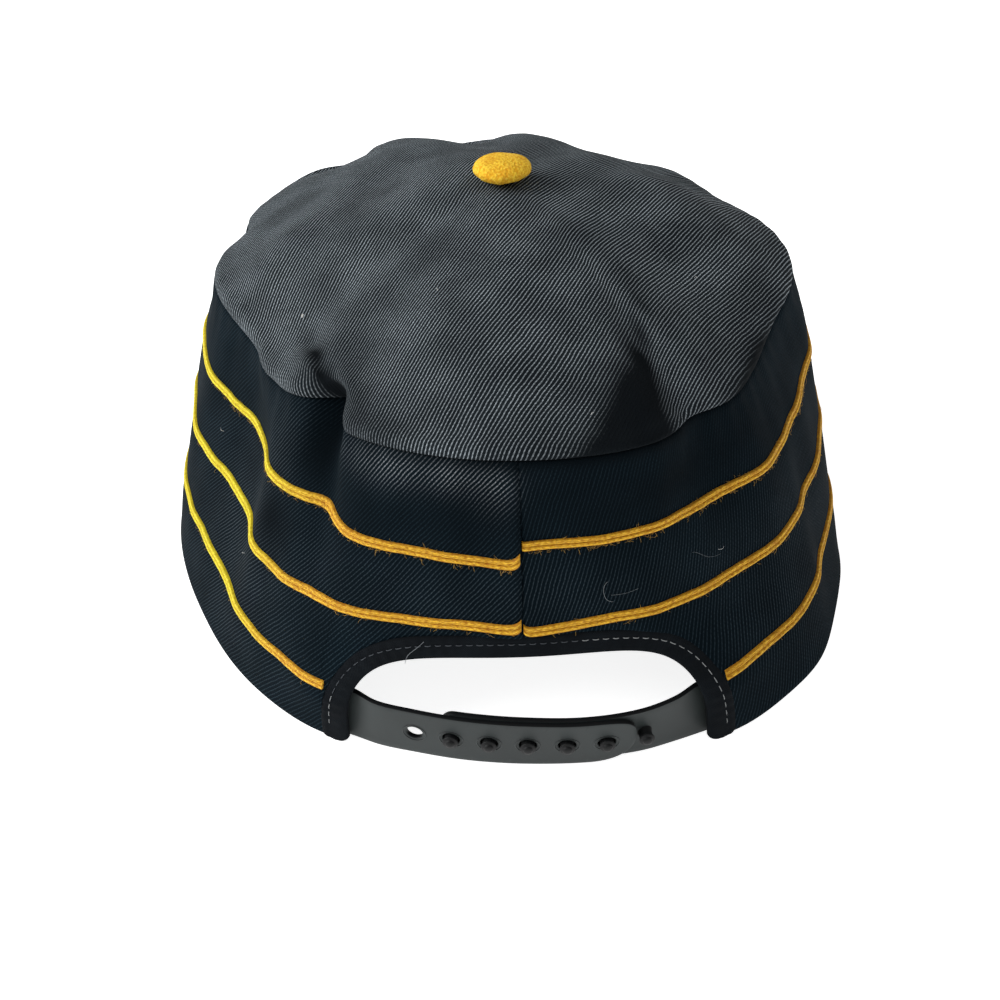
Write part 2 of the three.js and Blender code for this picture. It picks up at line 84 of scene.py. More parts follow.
# Folds sink in by `depth` at the seam, or stand out where it is below 0. They fade out down the wall to
# the height `above`, sway on the way, and reach over a share of the top.
FOLDS = table(
    "at half depth above sway reach",
    (33.7, 5.2, 8.9, 22, -0.09, 0.26),
    (53.0, 6.6, -5.8, 15, -0.12, 0.25),
    (52.5, 5.0, 3.9, 12, -0.02, 0.22),
    (106, 5.7, 4.8, 40, 0, 0.33),
    (145.8, 5.6, 6.5, 40, 0, 0.44),
    (168.8, 5.6, 5.0, 30, 0, 0.6),
    (206, 7.1, 2.9, 30, 0, 0.3),
    (235.3, 6.2, 4.5, 40, 0, 0.2),
    (290.7, 7.6, 1.2, 20, -0.04, 0.3),
    (329, 8.1, 4.1, 40, 0.02, 0.5),
)

# Narrow pinches in the cloth within the folds, too fine for the solids
PINCHES = table(
    "at half depth above sway reach",
    (37.5, 3.6, 4.6, 54, 0, 0.2),
    (29.5, 3.4, -2.4, 54, 0, 0.16),
)
# Where the seam is bunched up within a fold
LIFTS = table(
    "at half rise above",
    (42, 7, 1.8, 55),
)

# Swells and hollows of the top: `share` is 0 at the seam and 1 at the button, and they are at their full
# height from this share on
SWELLS_FROM = 0.16
SWELLS = table(
    "at half share wide height",
    (40, 13, 0.17, 0.13, 4.5),
    (140, 9, 0.25, 0.18, -3.0),
    (172, 9, 0.25, 0.18, -3.1),
    (188, 9, 0.25, 0.18, 1.8),
    (228, 9, 0.25, 0.18, 2.2),
    (249, 9, 0.25, 0.18, -1.3),
    (332, 6, 0.3, 0.2, -4.5),
    (38, 3.5, 0.17, 0.07, -2.6),
    (41, 3.5, 0.22, 0.05, -1.6),
    (47, 5, 0.26, 0.045, -1.8),
    (344, 5, 0.12, 0.08, -1.5),
    (132, 16, 0.08, 0.10, -1.2),
    (214, 6, 0.12, 0.08, 1.3),
    (247, 9, 0.08, 0.10, -1.2),
)

# The ends of the strap hold the wall out beside the arch
FLARES = table(
    "at half foot rise",
    (25, 8, 1.2, 0.13),
    (335, 8, 1.2, 0.2),
    (317, 7, 1.2, 0.0),
)
FLARE = Record(full=12, none=30)

# Rows of braid: the drop at the centre back, how far the row stays from it, how its first end dips and
# then hooks up, how its last end is tipped, how much lower the last end lies, the angle from the centre
# back where it starts to press into the wall, and how many loose fibres are drawn for it
BRAIDS = table(
    "name up drop start dip hook tip step held fuzz",
    ("top", 53.6, 3.2, 0.12, 0.9, 1.2, 0, 0.6, -4, 520),
    ("middle", 35, 0, 0.12, 0.4, 0.9, 0.6, 1.1, -4, 160),
    ("bottom", 16.2, 0, 25.3, 0, 0, 0, 0, 22, 60),
)
BRAID_HALF = 1.05
BRAID_SINK = 0.08
# Each of the braid's two cords: how far out its middle lies, its half height, and its arc in degrees
BRAID_CORD = Record(out=0.42, high=0.46, span=235)
BRAID_HOLD = 4
BRAID_WAVER = Record(slow=0.10, quick=0.03)
# How far in degrees the turns of the ends reach, and how much wider the hooked ends are
BRAID_END = Record(dip=6, hook=1.4, tip=1.2, step=9, wide=1.2, spread=0.22)
BRAID_SETTLE = 45

ARCH = Record(half=22.3, high=27.4, round=3.6)
BINDING = Record(half=26.0, high=32.5, round=3.1, proud=0.3, inner=0.1)
# How far the wall's edge is tucked in under the binding, in degrees and in millimetres
BINDING_TUCK = Record(half=0.25, high=0.45)

STRAP = Record(
    low=0.4, high=13.7, middle=7.05, thick=1.3, tuck=28.4, nose=-24.9,
    peg_end=16.0, peg_nose=4.0, peg_round=0.8,
)
NOSE = Record(tip=8.2, upper=0.62, lower=0.86)

# The strap's course in millimetres along it: how far its foot stands out from the rim, and its lean
STRAP_COURSE = table(
    "along out lean",
    (-54, -0.4, 14.5),
    (-42, -0.2, 9.2),
    (-35, 0.4, 0),
    (-26, 1.6, -4.5),
    (-13, 2.1, -7),
    (0, 2.0, -5.5),
    (13, 1.3, -4),
    (26, 0.2, -2.8),
    (35, -0.2, -1),
    (42, -1.0, 4.8),
    (54, -1.1, 6.8),
)
MM_PER_DEGREE = 1.9
PITCH = 8.8
FIRST_HOLE = 25.65
HOLES = 6

BUTTON = Record(radius=7.4, high=5.5, middle=2.8)
PEAK = Record(
    corner=122, half=82, side=-50, front=-156, round=2.3, thick=2.6, arc=6, droop=4,
    tuck=3.0, seat=0.5,
)
PEAK_BLEND = (60, 85)

# The peak is even on both sides of the cap's middle plane, and its tip is the foremost point.
peak_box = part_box("peak")
OFFSET = array([
    (peak_box[0][0] + peak_box[1][0]) / 2 / MM,
    peak_box[0][1] / MM - PEAK.front,
    0.0,
])


# Shape functions: angles in degrees and lengths in millimetres, all on arrays

def smoothstep(x, low, high):
    t = clip((x - low) / (high - low), 0, 1)
    return t * t * (3 - 2 * t)


def bell(*sides):
    """1 in the middle, falling to nothing where a side is well above 1."""
    return np.exp(-sum(side**2 for side in sides))


def turn(at, mid):
    return (at - mid + 180) % 360 - 180


def aside(row, at):
    """How far angles lie from the middle of a table's row, as a share of its half width."""
    return turn(at, row.at) / row.half


def unit(vectors):
    return vectors / np.maximum(np.linalg.norm(vectors, axis=-1, keepdims=True), 1e-9)


def around(column, at):
    """One column of the sections on a smooth closed curve through its rows."""
    values = array([getattr(row, column) for row in SECTIONS], float)
    place = at % 360 * len(values) / 360
    row = np.floor(place).astype(int)
    t = place - row
    a, b, c, d = (values[(row + step) % len(values)] for step in (-1, 0, 1, 2))
    return 0.5 * (2 * b + (c - a) * t + (2 * a - 5 * b + 4 * c - d) * t**2 + (3 * b - a - 3 * c + d) * t**3)


def course(column, along):
    """One column of the strap's course on a smooth curve through its rows."""
    places = array([row.along for row in STRAP_COURSE], float)
    values = array([getattr(row, column) for row in STRAP_COURSE], float)
    last = len(places) - 1
    before, after = np.maximum(arange(last + 1) - 1, 0), np.minimum(arange(last + 1) + 1, last)
    slope = (values[after] - values[before]) / (places[after] - places[before])
    i = clip(np.searchsorted(places, along, side="right") - 1, 0, last - 1)
    span = places[i + 1] - places[i]
    t = clip((along - places[i]) / span, 0, 1)
    ends = values[i] * (1 + 2 * t) * (1 - t) ** 2 + values[i + 1] * t * t * (3 - 2 * t)
    return ends + span * (slope[i] * t * (1 - t) ** 2 - slope[i + 1] * t * t * (1 - t))


def rim(at):
    angle = radians(at)
    return around("reach", at)[..., None] * stack([sin(angle), cos(angle)], -1)


def raised(flat, height):
    return concatenate([flat, height[..., None]], -1)


def outward(curve, at):
    along = unit(curve(at + 0.4) - curve(at - 0.4))
    return stack([-along[..., 1], along[..., 0]], -1)


def fold_depth(fold, at, up):
    middle = fold.at + fold.sway * (WALL_HEIGHT - up)
    return fold.depth * bell(turn(at, middle) / fold.half) * smoothstep(up, fold.above, WALL_HEIGHT)


def flare_out(flare, at, up):
    out = flare.foot + flare.rise * np.minimum(up, FLARE.full)
    return out * bell(aside(flare, at)) * (1 - smoothstep(up, FLARE.full, FLARE.none))


def level(at, up, folds):
    """The wall's course at a height, seen from above."""
    lean = up * sin(radians(around("lean", at)))
    rise = pi * clip(up, 0, WALL_HEIGHT) / WALL_HEIGHT
    bulge = around("bulge", at) * sin(rise) + around("belly", at) * sin(2 * rise)
    flare = sum(flare_out(row, at, up) for row in FLARES)
    dent = sum(fold_depth(fold, at, up) for fold in folds)
    return rim(at) + outward(rim, at) * (bulge + flare - lean - dent)[..., None]


def seam_course(folds):
    return lambda at: level(at, np.full(np.shape(at), WALL_HEIGHT + GAP), folds)


def peak_arc(x):
    return PEAK.arc * (1 - (x / PEAK.half) ** 2)


def rim_lift(at):
    """How far the rim is lifted over the peak."""
    share = 1 - smoothstep(abs(turn(at, 180)), *PEAK_BLEND)
    return share * (peak_arc(rim(at)[..., 0]) + PEAK.thick + PEAK.seat)


def wall_points(at, up, out, folds=FOLDS + PINCHES):
    at, up, out = np.broadcast_arrays(at, up, out)
    flat = level(at, up, folds) + outward(lambda a: level(a, up, folds), at) * out[..., None]
    height = up * cos(radians(around("lean", at)))
    height = height + rim_lift(at) * (1 - LIFT_LOST * up / WALL_HEIGHT)
    for lift in LIFTS:
        height = height + lift.rise * bell(aside(lift, at)) * smoothstep(up, lift.above, WALL_HEIGHT)
    return raised(flat, height)


def panel_points(at, share):
    start = WALL_HEIGHT + GAP
    edge = wall_points(at, start, 0, [])
    shrink = cos(share * pi / 2) ** CROWN_ROUND
    rise = sin(share * pi / 2) ** CROWN_ROUND
    flat = CROWN[:2] + (edge[..., :2] - CROWN[:2]) * shrink[..., None]
    away = outward(seam_course([]), at)
    for fold in FOLDS + PINCHES:
        dent = fold_depth(fold, at, start) * (1 - smoothstep(share, 0, fold.reach))
        flat = flat - away * dent[..., None]
    height = edge[..., 2] + (CROWN[2] - edge[..., 2]) * rise
    for swell in SWELLS:
        along = (share - swell.share) / swell.wide
        height = height + swell.height * bell(aside(swell, at), along) * smoothstep(share, 0, SWELLS_FROM)
    return raised(flat, height)


def grid_normals(points):
    """Normals of a grid of points whose first index runs right round."""
    across = np.roll(points, -1, 0) - np.roll(points, 1, 0)
    return unit(np.cross(np.gradient(points, axis=1), across))


def row_lengths(points, axis):
    steps = np.linalg.norm(np.diff(points, axis=axis), axis=-1)
    return np.insert(np.cumsum(steps, axis), 0, 0, axis)


def rounded_edge(shape, phi):
    """A curve from one foot over the top to the other foot, squarer than a half ellipse."""
    power = 2 / shape.round
    side = shape.half * np.sign(phi) * abs(sin(phi)) ** power
    return side, shape.high * np.maximum(cos(phi), 0) ** power


# Mesh building

def grid_of(columns, rows):
    return np.meshgrid(columns, rows, indexing="ij")


def grid_faces(columns, rows, closed):
    last = columns if closed else columns - 1
    i, j = grid_of(arange(last), arange(rows - 1))
    a, b = i * rows + j, (i + 1) % columns * rows + j
    return stack([a, a + 1, b + 1, b], -1).reshape(-1, 4)


def strip_faces(front, back, closed):
    quads = stack([front, np.roll(front, -1), np.roll(back, -1), back], -1)
    return quads if closed else quads[:-1]


def ring_faces(rings, sides):
    """Quads that join each ring of points to the next one."""
    grid = arange(rings * sides).reshape(rings, sides)
    return concatenate([strip_faces(grid[n], grid[n + 1], True) for n in range(rings - 1)])


def bar_faces(columns, rows, flip):
    """Faces of a bar whose sections are the columns of a grid, with both ends capped."""
    grid = arange(columns * rows).reshape(columns, rows)
    quads = [grid_faces(columns, rows, False), strip_faces(grid[:, -1], grid[:, 0], False)]
    faces = concatenate(quads).tolist() + [grid[0, ::-1].tolist(), grid[-1].tolist()]
    return [face[::-1] for face in faces] if flip else faces


def shell_arrays(outer, inner, closed):
    """Points and quads of a closed shell between two grids of the same size."""
    columns, rows = outer.shape[:2]
    count = columns * rows
    grid = arange(count).reshape(columns, rows)
    front = grid_faces(columns, rows, closed)
    faces = [front, front[:, ::-1] + count, strip_faces(grid[:, 0], grid[:, 0] + count, closed)]
    if closed:
        faces.append(strip_faces(grid[:, -1] + count, grid[:, -1], True))
    else:
        for edge in (grid[::-1, -1], grid[0, ::-1], grid[-1]):
            faces.append(strip_faces(edge, edge + count, False))
    return stack([outer, inner]), concatenate(faces)


def link(name, data):
    item = bpy.data.objects.new(name, data)
    bpy.context.scene.collection.objects.link(item)
    return item


def smooth(mesh, sharp):
    """Smooth shading, but for edges sharper than an angle in degrees."""
    mesh.polygons.foreach_set("use_smooth", [True] * len(mesh.polygons))
    mesh.set_sharp_from_angle(angle=math.radians(sharp))


def make_piece(name, points, faces, material, uv=None, sharp=40.0, marks=None):
    """A mesh in metres from points in millimetres, with flat cloth coordinates `uv` in millimetres too.

    `marks` holds values from 0 to 1 for each point, by the name that the material reads them by.
    """
    mesh = bpy.data.meshes.new(name)
    places = (points.reshape(-1, 3) + OFFSET) * MM
    mesh.from_pydata(places.tolist(), [], [list(map(int, face)) for face in faces])
    if uv is not None:
        layer = mesh.uv_layers.new(name="cloth")
        loops = np.empty(len(mesh.loops), dtype=np.int32)
        mesh.loops.foreach_get("vertex_index", loops)
        layer.data.foreach_set("uv", (uv.reshape(-1, 2)[loops] * MM).astype(np.float32).ravel())
    for mark, values in (marks or {}).items():
        attribute = mesh.attributes.new(mark, "FLOAT", "POINT")
        attribute.data.foreach_set("value", np.asarray(values, np.float32).ravel())
    mesh.validate()
    smooth(mesh, sharp)
    mesh.materials.append(material)
    return link(name, mesh)


def settle(piece, slot, *nodes):
    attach(piece, "root")
    if nodes:
        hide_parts(*nodes)


def join_parts(parts):
    points, faces, total = [], [], 0
    for part_points, part_faces in parts:
        points.append(part_points)
        faces.extend([[int(n) + total for n in face] for face in part_faces])
        total += len(part_points)
    return concatenate(points), faces


def tube(path, radius, sides, normal=(0.0, 0.0, 1.0)):
    """A round tube along a path, tapered by an array of radii, with capped ends."""
    along = unit(np.gradient(path, axis=0))
    side = unit(np.cross(along, normal))
    up = np.cross(side, along)
    angles = (arange(sides) * 2 * pi / sides)[:, None]
    ring = side[:, None] * cos(angles) + up[:, None] * sin(angles)
    radius = np.broadcast_to(radius, len(path))
    points = (path[:, None] + ring * radius[:, None, None]).reshape(-1, 3)
    faces = ring_faces(len(path), sides)[:, ::-1].tolist()
    last = len(points) - sides
    return points, faces + [list(range(sides))[::-1], list(range(last, last + sides))]


# Materials

class Nodes:
    """Short helpers for building one material's node tree."""

    def __init__(self, name):
        self.material = bpy.data.materials.new(name)
        self.material.use_nodes = True
        self.tree = self.material.node_tree
        self.shader = self.tree.nodes["Principled BSDF"]

    def plug(self, socket, value):
        if isinstance(value, bpy.types.NodeSocket):
            self.tree.links.new(value, socket)
        else:
            socket.default_value = value

    def add(self, kind, inputs=None, output=0, **settings):
        """An output of a new node whose inputs are set or linked."""
        node = self.tree.nodes.new(kind)
        for key, value in settings.items():
            setattr(node, key, value)
        for key, value in (inputs or {}).items():
            self.plug(node.inputs[key], value)
        return node.outputs[output]

    def math(self, operation, *values, clamp=False):
        return self.add("ShaderNodeMath", dict(enumerate(values)), operation=operation, use_clamp=clamp)

    def plus(self, a, b):
        return self.math("ADD", a, b)

    def times(self, a, b, clamp=False):
        return self.math("MULTIPLY", a, b, clamp=clamp)

    def scaled(self, value, scale, base):
        return self.math("MULTIPLY_ADD", value, scale, base)

    def sine(self, value):
        return self.math("SINE", value)

    def mix(self, share, a, b):
        return self.add("ShaderNodeMix", {"Factor": share, 6: a, 7: b}, 2, data_type="RGBA")

    def dot(self, vector, direction):
        return self.add("ShaderNodeVectorMath", {0: vector, 1: direction}, "Value", operation="DOT_PRODUCT")

    def cloth_uv(self):
        return self.add("ShaderNodeUVMap", uv_map="cloth")

    def position(self):
        return self.add("ShaderNodeTexCoord", output="Object")

    def mark(self, name):
        return self.add("ShaderNodeAttribute", output="Fac", attribute_name=name)

    def noise(self, vector, size_mm, detail, rough=0.5):
        inputs = {"Vector": vector, "Scale": 1 / (size_mm * MM), "Detail": detail, "Roughness": rough}
        return self.add("ShaderNodeTexNoise", inputs)

    def drift(self, vector, size_mm, detail, much):
        """Noise about 0, to shift a pattern by."""
        return self.times(self.math("SUBTRACT", self.noise(vector, size_mm, detail), 0.5), much)

    def ramp(self, value, low, high):
        inputs = {"Value": value, "From Min": low, "From Max": high}
        return self.add("ShaderNodeMapRange", inputs, interpolation_type="SMOOTHSTEP")

    def tint(self, color, tone, share, value, low, high):
        """A colour with a share of another tone where a value has come from low to high."""
        return self.mix(self.times(self.ramp(value, low, high), share), color, tone)

    def bump(self, height, distance_mm, strength, below=None):
        inputs = {"Height": height, "Distance": distance_mm * MM, "Strength": strength}
        if below is not None:
            inputs["Normal"] = below
        return self.add("ShaderNodeBump", inputs)

    def finish(self, color, rough, specular, normal=None, **others):
        """The finished material; other inputs of the shader go by name, with _ for a space."""
        inputs = {"Base Color": color, "Roughness": rough, "Specular IOR Level": specular}
        if normal is not None:
            inputs["Normal"] = normal
        inputs.update({key.replace("_", " "): value for key, value in others.items()})
        for key, value in inputs.items():
            self.plug(self.shader.inputs[key], value)
        return self.material


def rgb(red, green, blue):
    """A colour from its look on screen, 0 to 255, to the linear values that shaders take."""
    def linear(value):
        value /= 255
        return value / 12.92 if value <= 0.04045 else ((value + 0.055) / 1.055) ** 2.4
    return (linear(red), linear(green), linear(blue), 1.0)


def shade(tone, share):
    """A darker or lighter tone of a colour."""
    return tuple(min(v * share, 1.0) for v in tone[:3]) + (1.0,)


def sheen(weight, tint):
    return {"Sheen_Weight": weight, "Sheen_Roughness": 0.4, "Sheen_Tint": tint}


# Sizes of the weaves, in millimetres
TWILL_PITCH = 0.87
TAPE_PITCH = 0.5
PEBBLE = 0.55
BRAID_PITCH = Record(cords=0.66, plait=1.7)


def twill(name, angle, ground, paler, thread, strength, sheen_thread=None):
    """Twill cloth: thin slanting lines of lighter thread on a dark ground, along `angle` in the flat cloth.

    Where the mesh's painted light mark is 1 the lines are of a paler thread, a painted sheen, and where its
    painted shade mark is 1 the lines are gone and the ground is darker, a painted shade.
    """
    n = Nodes(name)
    uv = n.cloth_uv()
    scale = 1 / (TWILL_PITCH * MM)
    right, up = math.cos(math.radians(angle)) * scale, math.sin(math.radians(angle)) * scale
    along = n.dot(uv, (right, up, 0))
    across = n.dot(uv, (-up, right, 0))
    across = n.plus(across, n.plus(n.drift(uv, 24, 1.0, 1.5), n.drift(uv, 3.2, 1.0, 0.45)))
    rib = n.ramp(n.sine(n.times(across, 2 * pi)), 0.30, 1.0)
    step = n.plus(n.times(along, 2 * pi * 0.9), n.times(across, pi))
    ridge = n.times(rib, n.scaled(n.sine(step), 0.24, 0.76))
    fibre = n.noise(uv, 0.4, 2.0, 0.7)
    patches = n.ramp(n.noise(uv, 17, 2.0), 0.32, 0.68)
    light = n.times(ridge, n.scaled(patches, 0.35, 0.65))
    light = n.times(light, n.scaled(n.ramp(fibre, 0.3, 0.6), 0.6, 0.4), clamp=True)
    # Painted shade: where this mark is high the pale lines fade out and the ground is darkened.
    hollow = n.mark("hollow")
    light = n.times(light, n.times(n.math("SUBTRACT", 1.0, hollow), strength), clamp=True)
    # Painted sheen: where the wall's mark is high its lines take a paler thread.
    if sheen_thread is not None:
        thread = n.mix(n.mark("worn"), thread, sheen_thread)
    base = n.mix(n.times(patches, n.ramp(fibre, 0.3, 0.7)), ground, paler)
    base = n.mix(n.times(hollow, 0.8), base, shade(ground, 0.5))
    soft = n.bump(n.noise(uv, 6, 3.0), 0.25, 0.3)
    normal = n.bump(n.plus(ridge, n.times(fibre, 0.3)), 0.10, 0.7, soft)
    return n.finish(n.mix(light, base, thread), 0.94, 0.06, normal)


def ribbed_tape(name, ground, thread):
    n = Nodes(name)
    uv = n.cloth_uv()
    turns = 2 * pi / (TAPE_PITCH * MM)
    weave = n.times(n.sine(n.dot(uv, (turns, 0, 0))), n.sine(n.dot(uv, (0, turns, 0))))
    fibre = n.noise(uv, 0.4, 2.0, 0.7)
    patches = n.ramp(n.noise(uv, 9, 3.0), 0.35, 0.75)
    light = n.times(n.ramp(weave, -0.2, 1.0), n.times(patches, fibre), clamp=True)
    soft = n.bump(n.noise(uv, 3.5, 3.0), 0.25, 0.5)
    normal = n.bump(n.plus(weave, fibre), 0.05, 0.6, soft)
    return n.finish(n.mix(light, ground, thread), 0.9, 0.1, normal)


def braid_yarn(name):
    """Golden braid: fine strands that run along it, plaited at a low slant, with a faint middle groove.

    Where the mesh's lemon mark is 1 it is a lighter, colder yellow: painted light on the side of the cap
    towards the key light. Its middle groove, the dips between its cords and its edges are darkened: painted
    shade.
    """
    n = Nodes(name)
    uv = n.cloth_uv()
    run = n.dot(uv, (1 / MM, 0, 0))
    across = n.dot(uv, (0, 1 / MM, 0))
    off_middle = n.math("ABSOLUTE", across)
    stretched = n.add("ShaderNodeCombineXYZ", {0: n.times(run, 0.16 * MM), 1: n.times(across, MM)})
    strands = n.noise(stretched, 0.16, 2.0, 0.6)
    cords = n.plus(n.times(across, 2 * pi / BRAID_PITCH.cords), n.drift(uv, 1.6, 2.0, 5.0))
    cords = n.sine(cords)
    plait = n.sine(n.plus(n.times(run, 2 * pi / BRAID_PITCH.plait), n.times(off_middle, 2.6)))
    fibre = n.noise(uv, 0.24, 3.0, 0.75)
    lemon = n.mark("lemon")
    deep = n.mix(lemon, rgb(158, 98, 6), rgb(176, 152, 6))
    bright = n.mix(lemon, rgb(238, 190, 52), rgb(240, 228, 56))
    body = n.mix(n.ramp(strands, 0.36, 0.60), deep, bright)
    # Painted shade: the dips between the cords are darkened.
    body = n.tint(body, deep, 0.55, cords, 0.1, -0.9)
    body = n.tint(body, rgb(236, 204, 96), 0.15, plait, 0.4, 1.0)
    body = n.tint(body, rgb(250, 226, 140), 0.4, fibre, 0.58, 0.8)
    body = n.tint(body, deep, 0.4, n.noise(uv, 5, 2.0), 0.5, 0.72)
    # Painted shade: the braid is darkened towards its edges.
    body = n.tint(body, deep, 0.6, off_middle, 0.66, 1.05)
    # Painted shade: the middle groove is darkened.
    groove = n.scaled(n.ramp(off_middle, 0.0, 0.18), 0.6, 0.4)
    height = n.plus(n.times(plait, 0.2), n.plus(strands, n.times(fibre, 0.6)))
    normal = n.bump(n.plus(height, n.times(cords, 0.5)), 0.12, 0.6)
    color = n.mix(groove, rgb(150, 86, 6), body)
    return n.finish(color, 0.7, 0.2, normal, **sheen(0.08, rgb(255, 215, 60)))


def button_cloth(name):
    """Felted yellow cloth: pebbled, with darker hollows."""
    n = Nodes(name)
    place = n.position()
    inputs = {"Vector": place, "Scale": 1 / (PEBBLE * MM)}
    grain = n.ramp(n.add("ShaderNodeTexVoronoi", inputs, "Distance", feature="SMOOTH_F1"), 0.15, 0.7)
    spread = n.noise(place, 0.45, 3.0, 0.7)
    color = n.mix(grain, rgb(248, 208, 62), rgb(220, 158, 24))
    color = n.tint(color, rgb(255, 222, 110), 0.4, spread, 0.5, 0.75)
    color = n.tint(color, rgb(214, 140, 20), 0.5, n.noise(place, 2.6, 3.0), 0.5, 0.7)
    normal = n.bump(n.math("SUBTRACT", n.times(spread, 0.8), grain), 0.18, 0.75)
    return n.finish(color, 0.9, 0.2, normal, **sheen(0.15, rgb(255, 215, 90)))


def moulded_plastic(name, tone, rough):
    """Satin plastic, greyer on its upright faces and near black on those that look up, a painted dark
    reflection.
    """
    n = Nodes(name)
    place = n.position()
    smudge = n.noise(place, 9, 3.0)
    color = n.mix(n.ramp(smudge, 0.3, 0.7), tone, shade(tone, 1.3))
    # Painted reflection: faces that look up are darkened towards near black.
    upward = n.dot(n.add("ShaderNodeNewGeometry", output="Normal"), (0, 0, 1))
    color = n.mix(n.ramp(upward, 0.28, 0.62), color, rgb(7, 9, 11))
    normal = n.bump(n.noise(place, 0.6, 3.0, 0.6), 0.02, 0.5)
    return n.finish(color, n.scaled(smudge, 0.14, rough), 0.25, normal)


def spun_thread(name, tone):
    n = Nodes(name)
    fibre = n.noise(n.position(), 0.3, 2.0)
    color = n.mix(fibre, tone, shade(tone, 0.5))
    return n.finish(color, 0.85, 0.5, n.bump(fibre, 0.05, 0.5))


# The top and the wall are one cloth: the top's paler colours are painted light, where the top faces the
# light from above. The wall's last colour is the paler thread of its painted sheen.
WALL_COLORS = (rgb(3, 12, 18), rgb(8, 20, 27), rgb(32, 47, 55))
LIT_PANEL_COLORS = (rgb(18, 23, 27), rgb(37, 43, 47), rgb(174, 184, 190))
PEAK_COLORS = (rgb(5, 13, 18), rgb(10, 20, 26), rgb(38, 50, 58))
WALL_TWILL = twill("wall_twill", 133, *WALL_COLORS, 1.0, rgb(160, 165, 170))
PANEL_TWILL = twill("panel_twill", 61, *LIT_PANEL_COLORS, 1.0)
PEAK_TWILL = twill("peak_twill", 60, *PEAK_COLORS, 0.9)
BINDING_TAPE = ribbed_tape("binding_tape", rgb(8, 12, 16), rgb(34, 42, 48))
BRAID_YARN = braid_yarn("braid_yarn")
BUTTON_CLOTH = button_cloth("button_cloth")
STRAP_PLASTIC = moulded_plastic("strap_plastic", rgb(37, 42, 42), 0.44)
# The pegs take a darker tone of the strap's plastic: painted shade.
SHADED_PEG_PLASTIC = moulded_plastic("peg_plastic", rgb(9, 10, 11), 0.50)
STITCH_THREAD = spun_thread("stitch_thread", rgb(150, 154, 155))
FAINT_THREAD = spun_thread("faint_thread", rgb(66, 72, 78))
LOOSE_THREAD = spun_thread("loose_thread", rgb(118, 124, 128))
LINT = spun_thread("lint", rgb(250, 250, 246))
FUZZ = spun_thread("fuzz", rgb(178, 138, 58))


# Cloth of the wall and the top

WALL_RIPPLES = table(
    "high u v phase",
    (0.45, 61, 190, 0.4),
    (0.30, 37, -120, 2.1),
    (0.16, 19, 80, 4.4),
    (0.14, 160, 26, 1.2),
)
PANEL_RIPPLES = table(
    "high u v phase",
    (0.55, 58, 83, 0.8),
    (0.40, -44, 71, 3.0),
    (0.20, 27, -34, 1.7),
)
# Puckers along the seam, which fade away from it
PUCKER_WAVE = 7.5
WALL_PUCKER = Record(high=0.15, fade=7.0, phase=0.0, sway=11)
PANEL_PUCKER = Record(high=0.12, fade=6.0, phase=0.8, sway=13)
BACK_SEAM = Record(half=0.5, depth=0.5, swell=0.4, wide=4.0)
BRAID_PRESS = Record(deep=0.30, half=2.6)
EDGE_ROUND = 0.9
# How far the wall goes in under the top's edge
SEAM_OVERLAP = 0.06
# How far the top puffs up beside its seam, at the back and at the front of the cap
SEAM_PUFF = Record(back=0.9, front=0.2, middle=2.6, half=2.2)
# Radius to which the flat cloth of the wall is cut, and the top's radius for its puckers
CURVED_CUT = 1250.0
PANEL_RADIUS = 80

# Places on the wall, by angle and distance below the seam, where its threads are painted lighter:
# a painted sheen where light grazes the cloth
PAINTED_SHEEN = table(
    "at half place wide much",
    (18, 9, 3, 4.5, 0.75),
    (8.5, 2.6, 3, 4.5, 0.8),
    (3.2, 2.6, 5, 6, 0.9),
    (45, 5, 12, 12, 0.12),
    (52, 18, 45, 25, 0.14),
    (8, 30, 32, 9, 0.06),
    (300, 26, 48, 24, 0.10),
)
# Places where its colour is darker and its lines are faint: painted shade in its folds and under the top's
# edge
WALL_PAINTED_SHADE = table(
    "at half place wide much",
    (36.5, 5, 9, 10, 1.0),
    (43, 5, 28, 6, 0.8),
    (335, 27, 10, 9, 0.7),
    (12, 16, 15, 7, 0.4),
    (350, 34, 0, 2.2, 0.9),
)
# Painted shade on the top in the same way, by angle and share of the way in from the seam
PANEL_PAINTED_SHADE = table(
    "at half place wide much",
    (323, 2, 0.47, 0.04, 0.5),
    (329.5, 2.5, 0.425, 0.045, 0.8),
    (335, 3.5, 0.37, 0.055, 1.1),
    (339.5, 5, 0.29, 0.06, 1.3),
    (342.5, 6, 0.20, 0.07, 1.5),
    (344.5, 7, 0.10, 0.07, 1.6),
    (345, 7.5, 0.02, 0.06, 1.6),
    (306, 12, 0.02, 0.11, 1.6),
    (0, 45, 0.20, 0.30, 0.12),
    (26, 8, 0.12, 0.12, 0.65),
    (44, 6, 0.14, 0.12, 0.4),
    (313, 5, 0.0, 0.05, 1.0),
    (0, 30, 0.0, 0.035, 0.9),
    (37, 2.5, 0.08, 0.08, 1.0),
    (38.5, 2.5, 0.17, 0.06, 0.9),
    (44, 3.5, 0.235, 0.04, 0.8),
    (52, 4, 0.26, 0.035, 0.4),
)


def ripples(u, v, rows):
    """Soft unevenness as a sum of slanting waves, in millimetres."""
    total = 0
    for row in rows:
        phase = 2 * pi * (u / row.u + v / row.v) + row.phase
        sway = 0.9 * sin(2 * pi * u / (2.7 * row.u) + row.phase)
        total = total + row.high * sin(phase + sway)
    return total


def puckers(row, run, drop):
    wave = sin(2 * pi * run / PUCKER_WAVE + row.phase + 1.4 * sin(run / row.sway))
    return row.high * wave * np.exp(-drop / row.fade)


def marks(at, place, rows):
    """Values from 0 to 1 for both faces of a cloth, high where a row of the table lies."""
    total = sum(row.much * bell(aside(row, at), (place - row.place) / row.wide) for row in rows)
    return stack([clip(total, 0, 1)] * 2)


